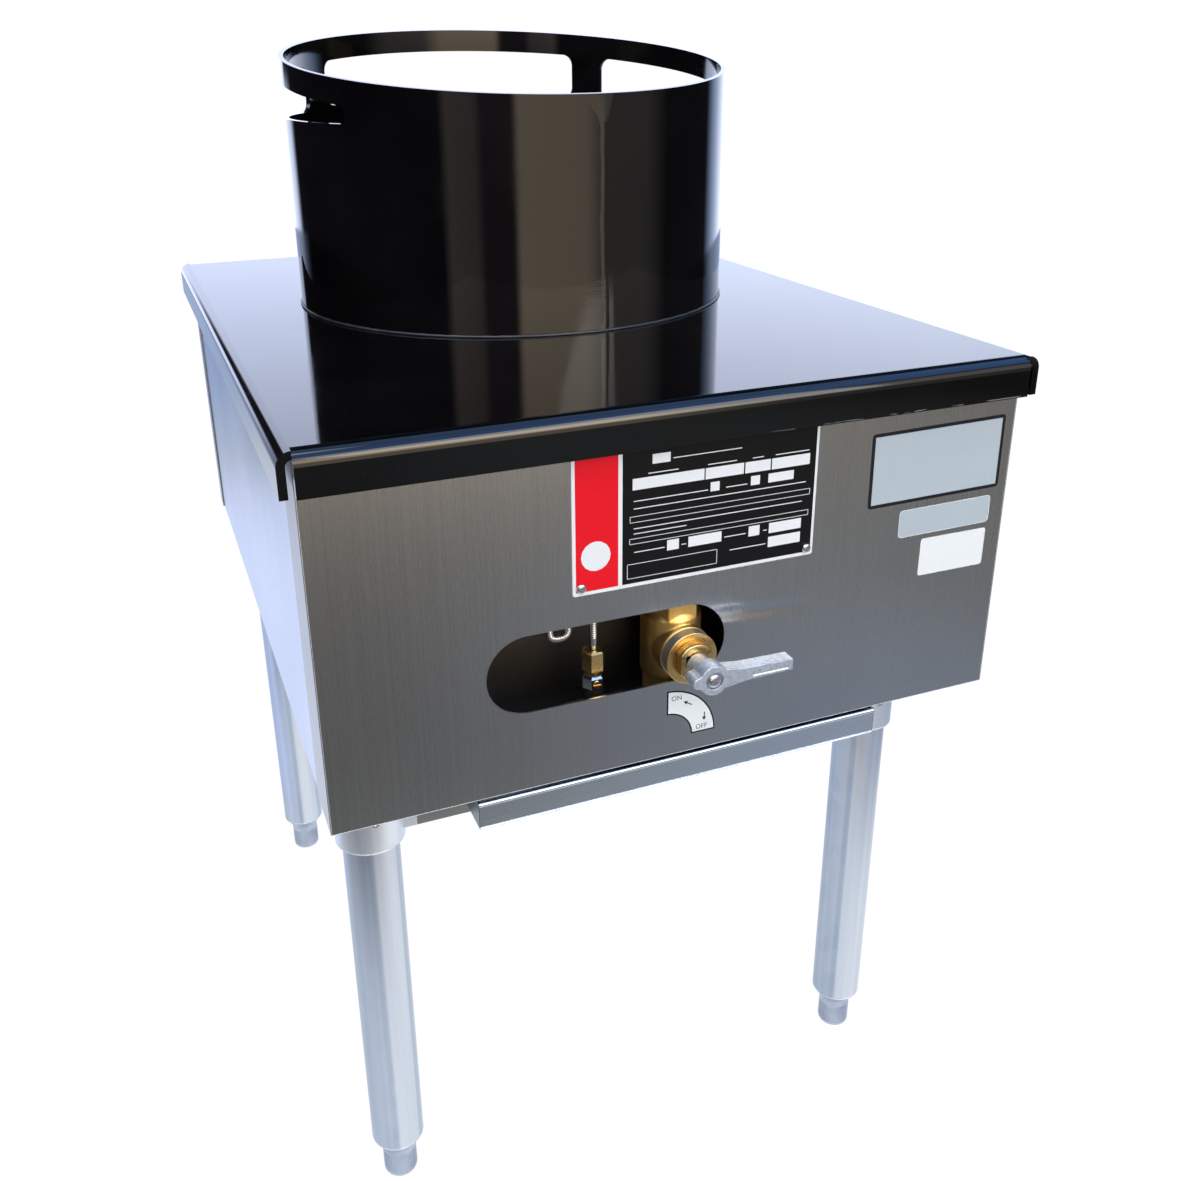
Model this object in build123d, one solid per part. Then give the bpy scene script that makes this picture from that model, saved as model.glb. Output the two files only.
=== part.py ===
from build123d import *
import math
import os

# A one-ring gas wok range on four legs. Millimetres, +Z up, front towards -Y.
# The origin lies on the floor, under the middle of the whole range.

# Cabinet
body_width = 457.0
body_depth = 583.0
body_bottom = 372.0
body_height = 234.0
sheet = 1.2
front_return = 40.0
back_return = 20.0
bottom_flange = 11.0
top_flange = 15.0
front_lip = 12.0

# Black top plate
plate_thickness = 4.8
plate_bend = 8.4
hem_drop = 25.5
side_hem_setback = 2.4
plate_hole_radius = 150.0

# Wok ring
ring_x = 3.0
ring_setback = 335.5
ring_radius = 166.6
ring_wall = 3.4
ring_height = 176.8
rim_tilt = 7.4
rim_band = 17.0
slot_floor = 137.4
back_slot_floor = 141.0
slot_corner = 9.0
slot_nose = 5.0
ring_turn = 2.7
back_slot_angle = 84.8
post_angle = 9.4
side_slot_angle = 66.9
weld_leg = 2.5

# Window in the front panel
window_x = -54.9
window_rise = 77.9
window_width = 154.4
window_drop = 50.8

# Legs and feet
leg_inset_x = 36.0
leg_setback = 84.0
leg_back_inset = 78.0
leg_tube_radius = 19.05
leg_tube_wall = 1.6
leg_tube_end = 36.0
socket_radius = 23.0
socket_drop = 68.0
tube_seat_drop = 16.0
collar_height = 8.0
collar_radius = 13.5
plug_height = 22.0
foot_radius = 12.4
foot_bevel = 2.0
stem_radius = 5.0
stem_length = 46.0
set_screw_radius = 3.0
set_screw_rise = 24.0

# Base frame and drip tray
rail_thickness = 3.0
base_rail_width = 75.0
base_rail_rise = 38.0
cross_rail_gap = 21.0
cross_rail_drop = 41.0
cross_rail_width = 38.0
cross_rail_setback = 74.0
lug_length = 14.0
tray_width = 281.0
tray_seat = 8.0
tray_height = 18.0
tray_bead = 1.6
guide_height = 15.0
guide_foot = 12.0

# Baffles behind the front panel
baffle_setback = 56.0
baffle_seam_rise = 55.0
baffle_lap = 6.0
baffle_top_gap = 98.0
baffle_wing = 12.0

# Gas train
pipe_radius = 13.35
pipe_wall = 2.9
fitting_radius = 16.0
fitting_rim = 1.8
fitting_reach = 27.0
thread_depth = 12.0
valve_x = -4.1
valve_setback = 22.0
valve_drop = 6.9
manifold_gap = 0.3
manifold_left = -66.0
inlet_x = 75.0
inlet_reach = 30.0
thread_length = 20.0
thread_radius = 13.0
valve_half_length = 33.0
valve_flats = 33.0
valve_hex_length = 15.0
valve_barrel_radius = 19.0
valve_boss_radius = 17.0
ball_radius = 14.0
ball_port_radius = 9.5
bonnet_radius = 15.8
bonnet_face = 8.5
bonnet_thickness = 9.0
gland_radius = 12.3
gland_flats = 18.0
gland_thickness = 5.0
valve_stem_radius = 4.8

# Lever
lever_reach = 38.0
lever_hub_radius = 9.5
lever_hub_depth = 23.0
lever_length = 53.0
lever_arm_depth = 10.0
lever_nose = 14.0
lever_nose_radius = 3.6
lever_stem_depth = 8.0
lever_screw_radius = 4.6

# Burner line
burner_gap = 46.0
burner_drop = 17.0
burner_depth = 24.0
outer_ring_radius = 80.0
inner_ring_radius = 34.0
burner_section = 24.0
burner_boss_radius = 24.0
burner_boss_length = 30.0
port_radius = 1.7
port_depth = 3.0
outer_ports = 20
inner_ports = 8
jet_flats = 30.0
jet_start = 55.0
jet_neck_radius = 8.0
mixer_start = 86.0
mixer_mouth_radius = 27.0
mixer_throat_radius = 15.0
mixer_throat = 125.0
mixer_end_radius = 20.0
mixer_wall = 3.0
shutter_thickness = 1.5
shutter_windows = 3
window_sweep = 58.0
bar_width = 30.0
bar_thickness = 4.0
bar_foot = 21.0
spoke_width = 18.0
spoke_sink = 6.0
boss_sink = 4.0
burner_chamfer = 5.0
mixer_seat = 12.0
bar_offset = 60.0
guard_radius = 148.0

# Pilot line
pilot_x = -56.6
pilot_boss_radius = 6.0
pilot_boss_rise = 9.0
pilot_nut_flats = 12.5
pilot_nut_height = 10.0
pilot_hex_flats = 13.0
pilot_hex_height = 14.0
pilot_neck_height = 3.0
pilot_screw_radius = 2.4
pilot_screw_depth = 5.0
pilot_tube_radius = 2.8
pilot_top_gap = 90.0
loop_rise = 86.0
pilot_run_drop = 14.0
loop_right_x = -73.0
loop_left_x = -85.0
pilot_burner_x = -45.0
pilot_burner_gap = 14.0

# Data plate
data_left = -78.3
data_right = 81.4
data_gap = 19.5
data_top_gap = 8.0
data_thickness = 0.8
data_screw_inset = 5.0
data_screw_radius = 3.0

# Clearances
tray_clearance = 0.5
slide_clearance = 0.3
running_clearance = 0.06
hole_clearance = 0.4
ball_clearance = 0.3

# Places worked out from the sizes above
half_width = body_width / 2
top_height = body_bottom + body_height
window_height = body_bottom + window_rise
socket_end = body_bottom - socket_drop
tube_seat = body_bottom - tube_seat_drop
set_screw_height = socket_end + set_screw_rise
cross_rail_top = body_bottom - cross_rail_gap
baffle_seam = body_bottom + baffle_seam_rise
baffle_top = top_height - baffle_top_gap
valve_height = window_height - valve_drop
manifold_height = valve_height - valve_half_length - pipe_radius - manifold_gap
burner_top = top_height - burner_gap
burner_height = burner_top - burner_drop
burner_bottom = burner_top - burner_depth
pilot_tube_top = top_height - pilot_top_gap
loop_floor = body_bottom + loop_rise
data_bottom = window_height + window_drop / 2 + data_gap
data_top = top_height - data_top_gap
front_y = -(body_depth + inlet_reach - lever_reach) / 2
back_y = front_y + body_depth
plate_underside = top_height - plate_thickness
hem_overhang = plate_bend
hem_outer = half_width + hem_overhang
ring_y = front_y + ring_setback
ring_bore = ring_radius - ring_wall
leg_x = half_width - leg_inset_x
leg_front_y = front_y + leg_setback
leg_rear_y = back_y - leg_back_inset
wall_inner = half_width - 2 * sheet
rail_seat = body_bottom + sheet
rail_top = rail_seat + rail_thickness
valve_y = front_y + valve_setback
burner_turn = math.degrees(math.atan2(ring_x - valve_x, ring_y - valve_y))
burner_reach = math.hypot(ring_x - valve_x, ring_y - valve_y)
corners = {"front_left": (-1, leg_front_y), "front_right": (1, leg_front_y),
           "rear_left": (-1, leg_rear_y), "rear_right": (1, leg_rear_y)}

os.makedirs("parts", exist_ok=True)


def save(name, shape):
    shape.label = name
    export_step(shape, "parts/" + name + ".step")


def block(x0, x1, y0, y1, z0, z1):
    size = (abs(x1 - x0), abs(y1 - y0), abs(z1 - z0))
    return Pos((x0 + x1) / 2, (y0 + y1) / 2, (z0 + z1) / 2) * Box(*size)


def upright(x, y, z0, z1, radius):
    return Pos(x, y, (z0 + z1) / 2) * Cylinder(radius, abs(z1 - z0))


def along_x(y, z, x0, x1, radius):
    return Pos((x0 + x1) / 2, y, z) * Rot(0, 90, 0) * Cylinder(radius, abs(x1 - x0))


def along_y(x, z, y0, y1, radius):
    return Pos(x, (y0 + y1) / 2, z) * Rot(90, 0, 0) * Cylinder(radius, abs(y1 - y0))


def hex_upright(x, y, z0, z1, flats):
    outline = RegularPolygon(flats / 2, 6, major_radius=False)
    return Pos(x, y, z0) * extrude(outline, z1 - z0)


def mirrored(shape):
    return mirror(shape, Plane.YZ)


def hem_profile(outer, bottom, top, thickness, bend):
    """Half of the plate's section: a flat, a bend and a hem hanging down."""
    with BuildLine() as line:
        Line((0, top), (outer - bend, top))
        TangentArc((outer - bend, top), (outer, top - bend), tangent=(1, 0))
        Polyline((outer, top - bend), (outer, bottom), (outer - thickness, bottom),
                 (outer - thickness, top - bend))
        TangentArc((outer - thickness, top - bend), (outer - bend, top - thickness), tangent=(0, 1))
        Polyline((outer - bend, top - thickness), (0, top - thickness), (0, top))
    return make_face(line.line)


# Top plate: the front and back hems are as long as the cabinet is wide, and the side
# hems stand outside them, so each corner is an open notch.
def top_plate():
    bottom = top_height - hem_drop
    face = hem_profile(hem_outer, bottom, top_height, plate_thickness, plate_bend)
    side_length = body_depth + 2 * (hem_overhang - side_hem_setback)
    middle_y = (front_y + back_y) / 2
    side = extrude(Plane.XZ * face, side_length / 2, both=True)
    side -= block(0, hem_outer - plate_bend, -side_length, side_length, 0, top_height + 1)
    side = Pos(0, middle_y, 0) * side
    half_depth = body_depth / 2 + hem_overhang
    face = hem_profile(half_depth, bottom, top_height, plate_thickness, plate_bend)
    front = extrude(Plane.YZ * face, half_width, both=True)
    front -= block(-half_width - 1, half_width + 1, 0, half_depth - plate_bend, 0, top_height + 1)
    back = Pos(0, middle_y, 0) * front
    front = Pos(0, middle_y, 0) * mirror(front, Plane.XZ)
    flat_x = hem_outer - plate_bend
    flat_y = half_depth - plate_bend
    flat = block(-flat_x, flat_x, middle_y - flat_y, middle_y + flat_y, plate_underside, top_height)
    plate = flat + side + mirrored(side) + front + back
    return plate - upright(ring_x, ring_y, plate_underside - 1, top_height + 1, plate_hole_radius)


# Wok ring: a rolled and welded band with a sloping rim and three air slots
def tilted_slab(height, thickness):
    """A slab whose underside is parallel to the rim, this far above the top plate."""
    slab = Pos(0, 0, thickness / 2) * Box(4 * ring_radius, 4 * ring_radius, thickness)
    return Pos(ring_x, ring_y, top_height + height) * Rot(rim_tilt, 0, 0) * slab


def sector(start, sweep, inner, outer, z0, z1):
    first = math.radians(start)
    middle = math.radians(start + sweep / 2)
    last = math.radians(start + sweep)
    far = outer / math.cos(math.radians(sweep / 2)) * 1.1
    points = [(0, 0)] + [(far * math.cos(a), far * math.sin(a)) for a in (first, middle, last)]
    wedge = extrude(make_face(Polyline(*points, close=True).edges()), z1 - z0)
    shell = Cylinder(outer, z1 - z0) - Cylinder(inner, z1 - z0 + 2)
    return Pos(0, 0, z0) * (wedge & (Pos(0, 0, (z1 - z0) / 2) * shell))


def slot_cutter(start, sweep, first_corner, last_corner, floor_rise):
    floor_z = top_height + floor_rise
    rim_z = top_height + ring_height + ring_radius
    cutter = sector(start, sweep, ring_bore - 6, ring_radius + 6, floor_z, rim_z)
    cutter = Pos(ring_x, ring_y, 0) * cutter - tilted_slab(ring_height - rim_band, 3 * ring_radius)
    for angle, corner in ((start, first_corner), (start + sweep, last_corner)):
        direction = Vector(math.cos(math.radians(angle)), math.sin(math.radians(angle)), 0)
        rims = [e for e in cutter.edges().filter_by(GeomType.LINE)
                if abs(e.tangent_at(0.5).Z) < 0.4 and 10 < e.length < 18
                and (e.center() - Vector(ring_x, ring_y, e.center().Z)).normalized().dot(direction) > 0.999]
        cutter = fillet(rims, corner)
    return cutter


def ring_slots():
    middle = 90 + ring_turn
    back_start = middle - back_slot_angle / 2
    right_start = back_start - post_angle - side_slot_angle
    left_start = back_start + back_slot_angle + post_angle
    return [slot_cutter(back_start, back_slot_angle, slot_corner, slot_corner, back_slot_floor),
            slot_cutter(right_start, side_slot_angle, slot_nose, slot_corner, slot_floor),
            slot_cutter(left_start, side_slot_angle, slot_corner, slot_nose, slot_floor)]


def wok_ring():
    tall = ring_height + ring_radius
    ring = upright(ring_x, ring_y, top_height, top_height + tall, ring_radius)
    ring -= upright(ring_x, ring_y, top_height - 1, top_height + tall + 1, ring_bore)
    ring -= tilted_slab(ring_height, 3 * ring_radius)
    for cutter in ring_slots():
        ring -= cutter
    return ring


def ring_weld():
    section = Polyline((ring_radius, 0), (ring_radius + weld_leg, 0), (ring_radius, weld_leg), close=True)
    bead = revolve(Plane.XZ * make_face(section.edges()), Axis.Z)
    return Pos(ring_x, ring_y, top_height) * bead


# Cabinet walls: the front and back are wrapped round the ends of the two sides
def wrapped_panel(return_length, lip):
    """A panel in the local XZ plane, y = 0 outside, with returns and a lip towards +Y."""
    top = plate_underside
    panel = block(-half_width, half_width, 0, sheet, body_bottom, top)
    panel += block(-half_width, sheet - half_width, 0, return_length, body_bottom, top)
    panel += block(half_width - sheet, half_width, 0, return_length, body_bottom, top)
    return panel + block(-half_width, half_width, 0, lip, body_bottom, body_bottom + sheet)


def front_panel():
    window = extrude(Plane.XZ * SlotOverall(window_width, window_drop), 5, both=True)
    panel = wrapped_panel(front_return, front_lip) - Pos(window_x, 0, window_height) * window
    return Pos(0, front_y, 0) * panel


def back_panel():
    panel = Pos(0, back_y, 0) * mirror(wrapped_panel(back_return, front_lip), Plane.XZ)
    hole = along_y(inlet_x, manifold_height, back_y - 5, back_y + 5, pipe_radius + hole_clearance)
    return panel - hole


def side_panel():
    outer = half_width - sheet
    y0 = front_y + sheet
    y1 = back_y - sheet
    wall = block(wall_inner, outer, y0, y1, rail_seat, plate_underside)
    wall += block(outer - top_flange, outer, y0, y1, plate_underside - sheet, plate_underside)
    foot_y0 = front_y + front_return
    foot_y1 = back_y - back_return
    wall += block(wall_inner, outer, foot_y0, foot_y1, body_bottom, rail_seat)
    return wall + block(outer - bottom_flange, outer, foot_y0, foot_y1, body_bottom, rail_seat)


# Base frame: two angles inside the cabinet's foot, two cross rails under it
def base_rail():
    y0 = front_y + sheet
    y1 = back_y - sheet
    rail = block(wall_inner - base_rail_width, wall_inner, y0, y1, rail_seat, rail_top)
    return rail + block(wall_inner - rail_thickness, wall_inner, y0, y1, rail_seat, rail_seat + base_rail_rise)


def cross_rail(y, inward):
    """An angle between two leg sockets. Its upright wall is at y, its flat points inward."""
    half = leg_x - socket_radius - lug_length / 2
    far = y + inward * cross_rail_width
    flat = block(-half, half, y, far, cross_rail_top - rail_thickness, cross_rail_top)
    wall = block(-half, half, y, y + inward * rail_thickness, cross_rail_top - cross_rail_drop, cross_rail_top)
    return flat + wall


front_rail_y = front_y + cross_rail_setback
rear_rail_y = leg_rear_y + leg_setback - cross_rail_setback


def leg_socket(side, y):
    x = side * leg_x
    inward = 1 if y < 0 else -1
    wall_y = front_rail_y if y < 0 else rear_rail_y
    rail_end = leg_x - socket_radius - lug_length / 2
    bottom = cross_rail_top - cross_rail_drop
    socket = upright(x, y, socket_end, rail_seat, socket_radius)
    socket += block(side * rail_end, x, wall_y, wall_y + inward * 2 * rail_thickness, bottom, cross_rail_top)
    socket -= upright(x, y, socket_end - 1, tube_seat, leg_tube_radius + running_clearance)
    screw_y = y - inward * socket_radius
    return socket - along_y(x, set_screw_height, screw_y - 5, screw_y + 5, set_screw_radius)


def set_screws():
    screws = []
    for side, y in corners.values():
        outward = -1 if y < 0 else 1
        tip = y + outward * leg_tube_radius
        head = y + outward * (socket_radius + 0.5)
        screw = along_y(side * leg_x, set_screw_height, tip, head, set_screw_radius)
        key = RegularPolygon(1.5, 6, major_radius=False)
        recess = Pos(side * leg_x, head, set_screw_height) * extrude(Plane.XZ * key, 2, both=True)
        screws.append(screw - recess)
    return Compound(children=screws)


def leg_tube(side, y):
    x = side * leg_x
    tube = upright(x, y, leg_tube_end, tube_seat, leg_tube_radius)
    return tube - upright(x, y, leg_tube_end - 1, tube_seat + 1, leg_tube_radius - leg_tube_wall)


def foot_insert(side, y):
    """A plug in the tube's end with a tapered collar below it and a threaded bore."""
    x = side * leg_x
    bore = leg_tube_radius - leg_tube_wall - running_clearance
    collar = Pos(x, y, leg_tube_end - collar_height / 2) * Cone(collar_radius, leg_tube_radius, collar_height)
    insert = collar + upright(x, y, leg_tube_end, leg_tube_end + plug_height, bore)
    return insert - upright(x, y, 0, leg_tube_end + plug_height + 1, stem_radius + running_clearance)


def foot(side, y):
    top = leg_tube_end - collar_height
    body = upright(0, 0, 0, top, foot_radius)
    body = chamfer(body.edges().group_by(Axis.Z)[0], foot_bevel)
    return Pos(side * leg_x, y, 0) * (body + upright(0, 0, top, top + stem_length, stem_radius))


# Drip tray and its guides, resting on the cross rails
tray_floor = cross_rail_top + slide_clearance
tray_back = rear_rail_y - cross_rail_width + tray_seat
half_tray = tray_width / 2


def drip_tray():
    top = tray_floor + tray_height
    pan = block(-half_tray, half_tray, front_y, tray_back, tray_floor, top)
    pan -= block(sheet - half_tray, half_tray - sheet, front_y + sheet, tray_back - sheet,
                 tray_floor + sheet, top + 1)
    bead = along_x(front_y + tray_bead / 2, top - tray_bead, -half_tray, half_tray, tray_bead)
    return pan + bead


def tray_guide():
    x = half_tray + tray_clearance
    y0 = front_rail_y
    y1 = rear_rail_y
    z = cross_rail_top
    guide = block(x, x + sheet, y0, y1, z, z + guide_height)
    return guide + block(x, x + guide_foot, y0, y1, z, z + sheet)


# Two lapped sheets behind the controls keep the burner's heat from the front
def baffle(y, z0, z1, wing_z0, wing_z1):
    """An upright sheet across the cabinet with a wing at each end against the side."""
    wall = block(-wall_inner, wall_inner, y, y + sheet, z0, z1)
    for side in (-1, 1):
        wall += block(side * (wall_inner - sheet), side * wall_inner, y, y + baffle_wing, wing_z0, wing_z1)
    return wall


baffle_y = front_y + baffle_setback


def baffle_lower():
    y = baffle_y + sheet
    wall = baffle(y, rail_top, baffle_seam, rail_top, baffle_seam - baffle_lap)
    wall -= along_y(inlet_x, manifold_height, y - 5, y + 5, pipe_radius + hole_clearance)
    rise = rail_seat + base_rail_rise
    for side in (-1, 1):
        x0 = side * (wall_inner - rail_thickness - slide_clearance)
        wall -= block(x0, side * half_width, y - 1, y + 2 * baffle_wing, 0, rise + slide_clearance)
    return wall


def baffle_upper():
    bottom = baffle_seam - baffle_lap
    wall = baffle(baffle_y, bottom, baffle_top, baffle_seam, baffle_top)
    gap = pilot_tube_radius + hole_clearance
    y0 = baffle_y - 5
    y1 = baffle_y + 5
    wall -= along_y(loop_left_x, pilot_level, y0, y1, gap)
    wall -= block(loop_left_x - gap, loop_left_x + gap, y0, y1, pilot_level, top_height)
    gap = pipe_radius + hole_clearance
    wall -= along_y(valve_x, burner_height, y0, y1, gap)
    return wall - block(valve_x - gap, valve_x + gap, y0, y1, burner_height, top_height)


# Gas train: inlet pipe, elbow, manifold across the front, valve, riser and elbow
def elbow(inlet, outlet):
    """A mitred elbow whose two mouths point along the given directions."""
    arms = []
    for direction in (inlet, outlet):
        plane = Plane(origin=(0, 0, 0), z_dir=direction)
        length = fitting_reach + fitting_radius
        arms.append(plane * Pos(0, 0, length / 2 - fitting_radius) * Cylinder(fitting_radius, length))
    corner = arms[0] & arms[1]
    body = corner
    for direction in (inlet, outlet):
        plane = Plane(origin=(0, 0, 0), z_dir=direction)
        body += plane * Pos(0, 0, fitting_reach / 2) * Cylinder(fitting_radius, fitting_reach)
        rim = Cylinder(fitting_radius + fitting_rim, 6)
        body += plane * Pos(0, 0, fitting_reach - 3) * rim
    for direction in (inlet, outlet):
        plane = Plane(origin=(0, 0, 0), z_dir=direction)
        socket = Cylinder(pipe_radius, thread_depth)
        body -= plane * Pos(0, 0, fitting_reach - thread_depth / 2) * socket
    return body


def manifold_pipe():
    end = inlet_x - fitting_reach + thread_depth
    pipe = along_x(valve_y, manifold_height, manifold_left, end, pipe_radius)
    pipe -= along_x(valve_y, manifold_height, manifold_left - 1, end + 1, pipe_radius - pipe_wall)
    top = manifold_height + pipe_radius
    seat = upright(valve_x, valve_y, manifold_height, valve_height - valve_half_length + thread_depth, pipe_radius)
    seat -= along_x(valve_y, manifold_height, manifold_left, end, pipe_radius - pipe_wall)
    seat -= upright(valve_x, valve_y, manifold_height, valve_height, pipe_radius - pipe_wall)
    boss = upright(pilot_x, valve_y, manifold_height, top + pilot_boss_rise, pilot_boss_radius)
    boss -= along_x(valve_y, manifold_height, manifold_left, end, pipe_radius - pipe_wall)
    return pipe + seat + boss


def manifold_plug():
    bore = pipe_radius - pipe_wall
    x = manifold_left
    plug = along_x(valve_y, manifold_height, x, x + thread_depth, bore)
    head = RegularPolygon(bore + 1, 6, major_radius=False)
    return plug + Pos(x - 8, valve_y, manifold_height) * extrude(Plane.YZ * head, 8)


def inlet_elbow():
    return Pos(inlet_x, valve_y, manifold_height) * elbow((-1, 0, 0), (0, 1, 0))


def inlet_pipe():
    y0 = valve_y + fitting_reach - thread_depth
    y1 = back_y + inlet_reach
    pipe = along_y(inlet_x, manifold_height, y0, y1 - thread_length, pipe_radius)
    pipe += along_y(inlet_x, manifold_height, y1 - thread_length, y1, thread_radius)
    return pipe - along_y(inlet_x, manifold_height, y0 - 1, y1 + 1, pipe_radius - pipe_wall)


def valve_body():
    """A ball valve standing on the manifold, its stem pointing forward."""
    z0 = valve_height - valve_half_length
    z1 = valve_height + valve_half_length
    low_hex = hex_upright(valve_x, valve_y, z0, z0 + valve_hex_length, valve_flats)
    high_hex = hex_upright(valve_x, valve_y, z1 - valve_hex_length, z1, valve_flats)
    body = chamfer(low_hex.edges().filter_by(Plane.XY), 1.2) + chamfer(high_hex.edges().filter_by(Plane.XY), 1.2)
    barrel = upright(valve_x, valve_y, z0 + valve_hex_length / 2, z1 - valve_hex_length / 2, valve_barrel_radius)
    body += chamfer(barrel.edges().filter_by(GeomType.CIRCLE), 6, 4)
    neck_y = front_y - bonnet_face + bonnet_thickness
    body += along_y(valve_x, valve_height, valve_y, neck_y, valve_boss_radius)
    body -= upright(valve_x, valve_y, z0 - 1, z0 + thread_depth, pipe_radius)
    body -= upright(valve_x, valve_y, z1 - thread_depth, z1 + 1, pipe_radius)
    body -= upright(valve_x, valve_y, z0, z1, ball_port_radius)
    body -= Pos(valve_x, valve_y, valve_height) * Sphere(ball_radius + ball_clearance)
    return body - along_y(valve_x, valve_height, valve_y, neck_y - 1, valve_stem_radius + running_clearance)


def valve_bonnet():
    y0 = front_y - bonnet_face
    disc = along_y(valve_x, valve_height, y0, y0 + bonnet_thickness, bonnet_radius)
    disc = chamfer(disc.edges().filter_by(GeomType.CIRCLE), 0.8)
    return disc - along_y(valve_x, valve_height, y0 - 1, y0 + bonnet_thickness + 1,
                          valve_stem_radius + running_clearance)


def packing_gland():
    y1 = front_y - bonnet_face
    y0 = y1 - gland_thickness
    gland = along_y(valve_x, valve_height, y0, y1, gland_radius)
    gland &= Pos(valve_x, y0, valve_height) * Rot(0, 30, 0) * Box(2 * gland_radius, 4 * gland_thickness, gland_flats)
    gland += along_y(valve_x, valve_height, y0 - 1.5, y0, gland_radius - 3)
    return gland - along_y(valve_x, valve_height, y0 - 3, y1 + 1, valve_stem_radius + running_clearance)


lever_face = front_y - lever_reach
lever_back = lever_face + lever_hub_depth
stem_seat = lever_face + lever_stem_depth


def valve_ball():
    ball = Sphere(ball_radius) - Cylinder(ball_port_radius, 3 * ball_radius)
    ball = Pos(valve_x, valve_y, valve_height) * Rot(0, 90, 0) * ball
    return ball + along_y(valve_x, valve_height, stem_seat, valve_y - ball_port_radius - 1, valve_stem_radius)


def lever():
    """A die-cast handle: round hub, short nose, tapering arm pointing right."""
    r = lever_hub_radius
    hub = Circle(r)
    tip = lever_nose - lever_nose_radius
    nose = Pos(-tip, 0) * Circle(lever_nose_radius)
    nose_web = Polygon((-tip, -lever_nose_radius), (-2, 2 - r), (-2, r - 2), (-tip, lever_nose_radius), align=None)
    arm = Polygon((2, -r + 2.5), (20, -4.4), (lever_length, -3.6), (lever_length, 3.6),
                  (20, 4.4), (2, r - 2.5), align=None)
    grip = extrude(Plane.XZ * (hub + nose + nose_web + arm), -lever_arm_depth)
    barrel = extrude(Plane.XZ * (hub + nose + nose_web), -lever_hub_depth + 4)
    boss = extrude(Plane.XZ * Circle(r - 1.5), -lever_hub_depth)
    body = grip + barrel + boss
    body = Pos(valve_x, lever_face, valve_height) * body
    body -= along_y(valve_x, valve_height, stem_seat, lever_back + 1, valve_stem_radius)
    return body - along_y(valve_x, valve_height, lever_face - 1, stem_seat, 2.0)


def lever_screw():
    shank = along_y(valve_x, valve_height, lever_face, stem_seat, 2.0)
    head = along_y(valve_x, valve_height, lever_face - 1.2, lever_face, lever_screw_radius)
    cross = block(-2.4, 2.4, -1, 0.6, -0.5, 0.5) + block(-0.5, 0.5, -1, 0.6, -2.4, 2.4)
    return shank + (head - Pos(valve_x, lever_face - 1.2, valve_height) * cross)


def riser_pipe():
    z0 = valve_height + valve_half_length - thread_depth
    z1 = burner_height - fitting_reach + thread_depth
    pipe = upright(valve_x, valve_y, z0, z1, pipe_radius)
    return pipe - upright(valve_x, valve_y, z0 - 1, z1 + 1, pipe_radius - pipe_wall)


# Burner line: everything here is modelled along +Y from the riser and turned to the ring
burner_line = Pos(valve_x, valve_y, burner_height) * Rot(0, 0, -burner_turn)


def riser_elbow():
    return burner_line * elbow((0, 0, -1), (0, 1, 0))


def gas_jet():
    """A nipple, a hexagon and a neck that ends in the jet inside the mixer's mouth."""
    start = fitting_reach - thread_depth
    jet = along_y(0, 0, start, jet_start, pipe_radius)
    hexagon = extrude(Plane.XZ * RegularPolygon(jet_flats / 2, 6, major_radius=False), -16)
    jet += Pos(0, jet_start, 0) * hexagon
    jet += along_y(0, 0, jet_start, mixer_start + 10, jet_neck_radius)
    tip = Cone(jet_neck_radius - 1, 2.5, 9)
    jet += Pos(0, mixer_start + 14.5, 0) * Rot(-90, 0, 0) * tip
    return burner_line * (jet - along_y(0, 0, start - 1, mixer_start + 30, 1.4))


def air_windows(radius, thickness):
    openings = Part()
    for i in range(shutter_windows):
        pie = sector(i * 360 / shutter_windows, window_sweep, jet_neck_radius + 4, radius, -thickness, thickness)
        openings += pie
    return openings


def shutter_opening():
    """The air windows, turned so that they pierce a disc square to the burner line."""
    return Rot(-90, 0, 0) * air_windows(mixer_mouth_radius - mixer_wall - 1, 12)


def air_shutter():
    y1 = mixer_start - slide_clearance
    y0 = y1 - shutter_thickness
    disc = along_y(0, 0, y0, y1, mixer_mouth_radius)
    disc -= along_y(0, 0, y0 - 1, y1 + 1, jet_neck_radius + running_clearance)
    tab = block(-4, 4, y0 - 9, y1, mixer_mouth_radius - 1.5, mixer_mouth_radius)
    return burner_line * (disc - Pos(0, y0, 0) * shutter_opening() + tab)


def mixing_tube():
    """A venturi: a mouth with air windows, a throat and a long flare to the burner."""
    start = mixer_start
    end = burner_reach - outer_ring_radius - burner_section / 2 - burner_boss_length + mixer_seat
    w = mixer_wall
    with BuildLine() as line:
        a = Line((mixer_mouth_radius, start), (mixer_mouth_radius, start + 8))
        b = Line(a @ 1, (mixer_throat_radius + w, mixer_throat))
        Polyline(b @ 1, (mixer_end_radius, end - 16), (mixer_end_radius, end), (mixer_end_radius - w, end),
                 (mixer_end_radius - w, end - 16), (mixer_throat_radius, mixer_throat),
                 (mixer_mouth_radius - w, start + 8), (mixer_mouth_radius - w, start + w),
                 (jet_neck_radius + running_clearance, start + w),
                 (jet_neck_radius + running_clearance, start), a @ 0)
    tube = revolve(make_face(line.line), Axis.Y)
    return burner_line * (tube - Pos(0, start, 0) * shutter_opening())


def burner_ports(radius, count):
    z = burner_top - burner_height
    spots = []
    for i in range(count):
        angle = math.radians(360 * (i + 0.5) / count)
        x = radius * math.sin(angle)
        y = burner_reach + radius * math.cos(angle)
        spots.append(upright(x, y, z - port_depth, z + 1, port_radius))
    return spots


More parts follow.
